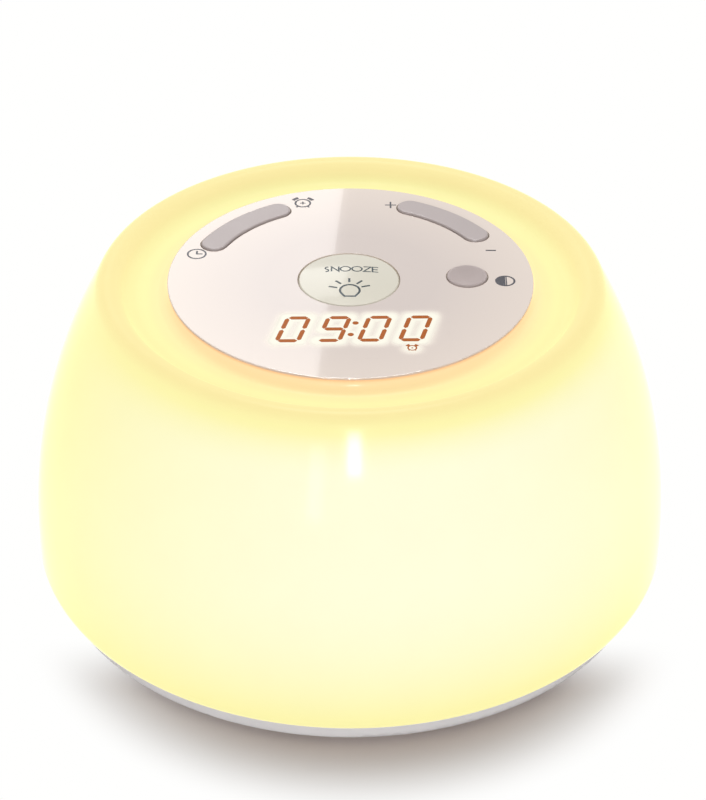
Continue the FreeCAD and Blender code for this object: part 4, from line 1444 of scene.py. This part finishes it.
@dataclass(frozen=True)
class ViewCamera:
    """The photograph's camera: where it stands, its lens and the way it is turned."""

    image_width: int = 706
    image_height: int = 800
    focal_px: float = 2811.0
    distance: float = 0.7223
    elevation: float = 31.24
    aim_px: Point = (350.2, 278.2)
    roll: float = 0.002

    def place(self, panel_top: float) -> Vector:
        """Where the camera stands, in metres."""
        lift = math.radians(self.elevation)
        return Vector((0, -self.distance * math.cos(lift), self.distance * math.sin(lift) + panel_top))

    def build(self, clock: ClockFrame) -> None:
        """Makes the camera.

        Args:
            clock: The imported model.
        """
        data = bpy.data.cameras.new("view")
        data.sensor_width = 36.0
        data.lens = self.focal_px / self.image_height * data.sensor_width
        data.clip_start = 0.01
        above = math.atan2(self.image_height / 2 - self.aim_px[1], self.focal_px)
        pitch = math.radians(self.elevation) + above
        yaw = math.atan2(self.aim_px[0] - self.image_width / 2, self.focal_px)
        ahead = Vector((0, math.cos(pitch), -math.sin(pitch)))
        right = Vector((1, 0, 0))
        up = right.cross(ahead)
        ahead, right = (ahead * math.cos(yaw) - right * math.sin(yaw),
                        right * math.cos(yaw) + ahead * math.sin(yaw))
        turn = Matrix((right, up, -ahead)).transposed().to_4x4()
        camera = bpy.data.objects.new("view", data)
        bpy.context.scene.collection.objects.link(camera)
        place = Matrix.Translation(self.place(clock.top("control_panel")))
        camera.matrix_world = place @ turn @ Matrix.Rotation(self.roll, 4, "Z")
        bpy.context.scene.camera = camera


class LampUse(Enum):
    """What a lamp is seen by: every surface, only reflections, or only plain shading."""

    ALL = (True, True)
    REFLECTION = (False, True)
    FILL = (True, False)


@dataclass(frozen=True)
class SoftLight:
    """A rectangular lamp that faces a point, or faces straight down if it has no aim."""

    name: str
    place: Point3
    aim: Point3 | None
    width: float
    length: float
    radiance: float
    use: LampUse = LampUse.ALL
    turn: float = 0.0

    def light_on(self, normal: Vector) -> float:
        """What the lamp gives to a surface of the clock.

        Args:
            normal: The way the surface faces.

        Returns:
            The level, without shadows.
        """
        if not self.use.value[0]:
            return 0.0
        way = Vector(self.place)
        face = Vector(self.place) - Vector(self.aim) if self.aim else Vector((0, 0, 1))
        spread = max(0.0, face.normalized().dot(way.normalized())) * max(0.0, normal.dot(way.normalized()))
        return self.radiance * self.width * self.length * spread / (math.pi * way.length_squared)

    def build(self) -> None:
        """Makes the lamp, with its power worked out from its radiance and size."""
        data = bpy.data.lights.new(self.name, "AREA")
        data.shape = "RECTANGLE"
        data.size = self.width
        data.size_y = self.length
        data.energy = self.radiance * math.pi * self.width * self.length
        lamp = bpy.data.objects.new(self.name, data)
        lamp.location = self.place
        spin = Matrix.Rotation(math.radians(self.turn), 3, "Z")
        if self.aim:
            way = Vector(self.aim) - Vector(self.place)
            spin = way.to_track_quat("-Z", "Y").to_matrix() @ spin
        lamp.rotation_euler = spin.to_euler()
        lamp.visible_camera = False
        lamp.visible_diffuse, lamp.visible_glossy = self.use.value
        bpy.context.scene.collection.objects.link(lamp)


@dataclass(frozen=True)
class Studio:
    """A white floor and sky, with soft lamps whose reflections show on the gloss."""

    sky_light: float = 0.32
    sky_colour: Colour = (1.0, 0.95, 0.915)
    white: Colour = (1.0, 1.0, 0.992)
    floor_colour: Colour = (0.9, 0.9, 0.895)
    # A warm seen colour that shows only where the floor is in shadow, so it paints the shadow warmer.
    shadow_tint: Colour = (0.88, 0.78, 0.725)
    fade_centre: Point = (2.0, -16.0)
    fade_reach: Point = (60.5, 91.0)
    fade_sides: Point = (-60.0, -36.0)
    floor_light: float = 0.5
    floor_half: float = 6.0
    lamps: tuple[SoftLight, ...] = (
        SoftLight("panel_reflection", (-0.3143, 1.2545, 0.8385), None, 0.6, 0.9, 1.75,
                  LampUse.REFLECTION, -3.69),
        SoftLight("key", (0.0, 0.68, 1.4), (0, 0, 0), 0.5, 0.5, 20.0),
        SoftLight("front_fill", (0.0, -1.6, 0.4), (0, 0, 0.04), 1.6, 0.6, 3.0, LampUse.FILL),
        SoftLight("front_strip", (0.027, -0.93, 0.365), (0, -0.07, 0.08), 0.085, 0.15, 170.0,
                  LampUse.REFLECTION),
        SoftLight("front_haze", (-0.2, -0.93, 0.255), (0, -0.07, 0.08), 0.09, 0.27, 22.0,
                  LampUse.REFLECTION),
    )

    def light_on(self, normal: Vector) -> float:
        """The light that falls on a surface of the clock, where 1 shows a colour as it is written.

        Args:
            normal: The way the surface faces.

        Returns:
            The level, without shadows.
        """
        up = (1 + normal.z) / 2
        lamps = sum(lamp.light_on(normal) for lamp in self.lamps)
        return self.sky_light * up + self.floor_light * (1 - up) + lamps

    def build_floor(self) -> None:
        """The pale floor, painted white by a fade away from the clock's front foot, which covers its shadow
        at the sides and behind and keeps it only in front, where the warm seen colour tints it.
        """
        build = bmesh.new()
        corners = [(-1, -1), (1, -1), (1, 1), (-1, 1)]
        build.faces.new([build.verts.new((x * self.floor_half, y * self.floor_half, 0)) for x, y in corners])
        mesh = close_mesh(build, "floor")
        graph = ShaderGraph("floor_white")
        seen = seen_rays(graph.tree)
        graph.join(graph.mix(seen, self.floor_colour, self.shadow_tint), graph.shader.inputs["Base Color"])
        graph.set("Roughness", 0.9)
        graph.set("Specular IOR Level", 0.0)
        white = graph.add("ShaderNodeEmission", Color=(*self.white, 1), Strength=1.0)
        painted_white_fade = graph.tree.nodes.new("ShaderNodeMixShader")
        graph.join(graph.combine("MULTIPLY", seen, self.painted_white_fade(graph)), painted_white_fade.inputs["Fac"])
        graph.join(graph.shader.outputs["BSDF"], painted_white_fade.inputs[1])
        graph.join(white.outputs["Emission"], painted_white_fade.inputs[2])
        graph.join(painted_white_fade.outputs["Shader"], graph.tree.nodes["Material Output"].inputs["Surface"])
        mesh.materials.append(graph.material)
        floor = bpy.data.objects.new("floor", mesh)
        bpy.context.scene.collection.objects.link(floor)

    def painted_white_fade(self, graph: ShaderGraph) -> bpy.types.NodeSocket:
        """How far the floor is painted white over its rendered shadow.

        Args:
            graph: The floor's material graph.

        Returns:
            A value of 0 at the clock's front foot and 1 well away from it.
        """
        shares = []
        for value, (near, far) in ((graph.plan_distance(self.fade_centre), self.fade_reach),
                                   (graph.axes(graph.place())["Y"], self.fade_sides)):
            shares.append(graph.span(value, 1, 0, near * MM, far * MM, "SMOOTHSTEP"))
        return graph.combine("SUBTRACT", 1.0, graph.combine("MULTIPLY", *shares))

    def build_sky(self) -> None:
        """A surround that shows white and lights the clock softly."""
        world = bpy.data.worlds.new("sky")
        world.use_nodes = True
        tree = world.node_tree
        light = tree.nodes["Background"]
        light.inputs["Color"].default_value = (*self.sky_colour, 1)
        light.inputs["Strength"].default_value = self.sky_light
        shown = tree.nodes.new("ShaderNodeBackground")
        shown.inputs["Color"].default_value = (*self.white, 1)
        shown.inputs["Strength"].default_value = 1.0
        mixer = tree.nodes.new("ShaderNodeMixShader")
        tree.links.new(seen_rays(tree), mixer.inputs["Fac"])
        tree.links.new(light.outputs["Background"], mixer.inputs[1])
        tree.links.new(shown.outputs["Background"], mixer.inputs[2])
        tree.links.new(mixer.outputs["Shader"], tree.nodes["World Output"].inputs["Surface"])
        bpy.context.scene.world = world

    def build(self) -> None:
        """Makes the stage and sets the plain view."""
        bpy.context.scene.view_settings.view_transform = "Standard"
        self.build_sky()
        self.build_floor()
        for lamp in self.lamps:
            lamp.build()


def main() -> None:
    """Builds the whole picture, one unit after another."""
    logging.basicConfig(level=logging.INFO, format="%(message)s")
    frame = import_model()
    clock = ClockFrame(frame["nodes"])
    ViewCamera().build(clock)
    studio = Studio()
    studio.build()
    DiffuserShade().build(clock, studio)
    BaseUnit().build(clock)
    ControlUnit().build(clock)


if __name__ == "__main__":
    main()
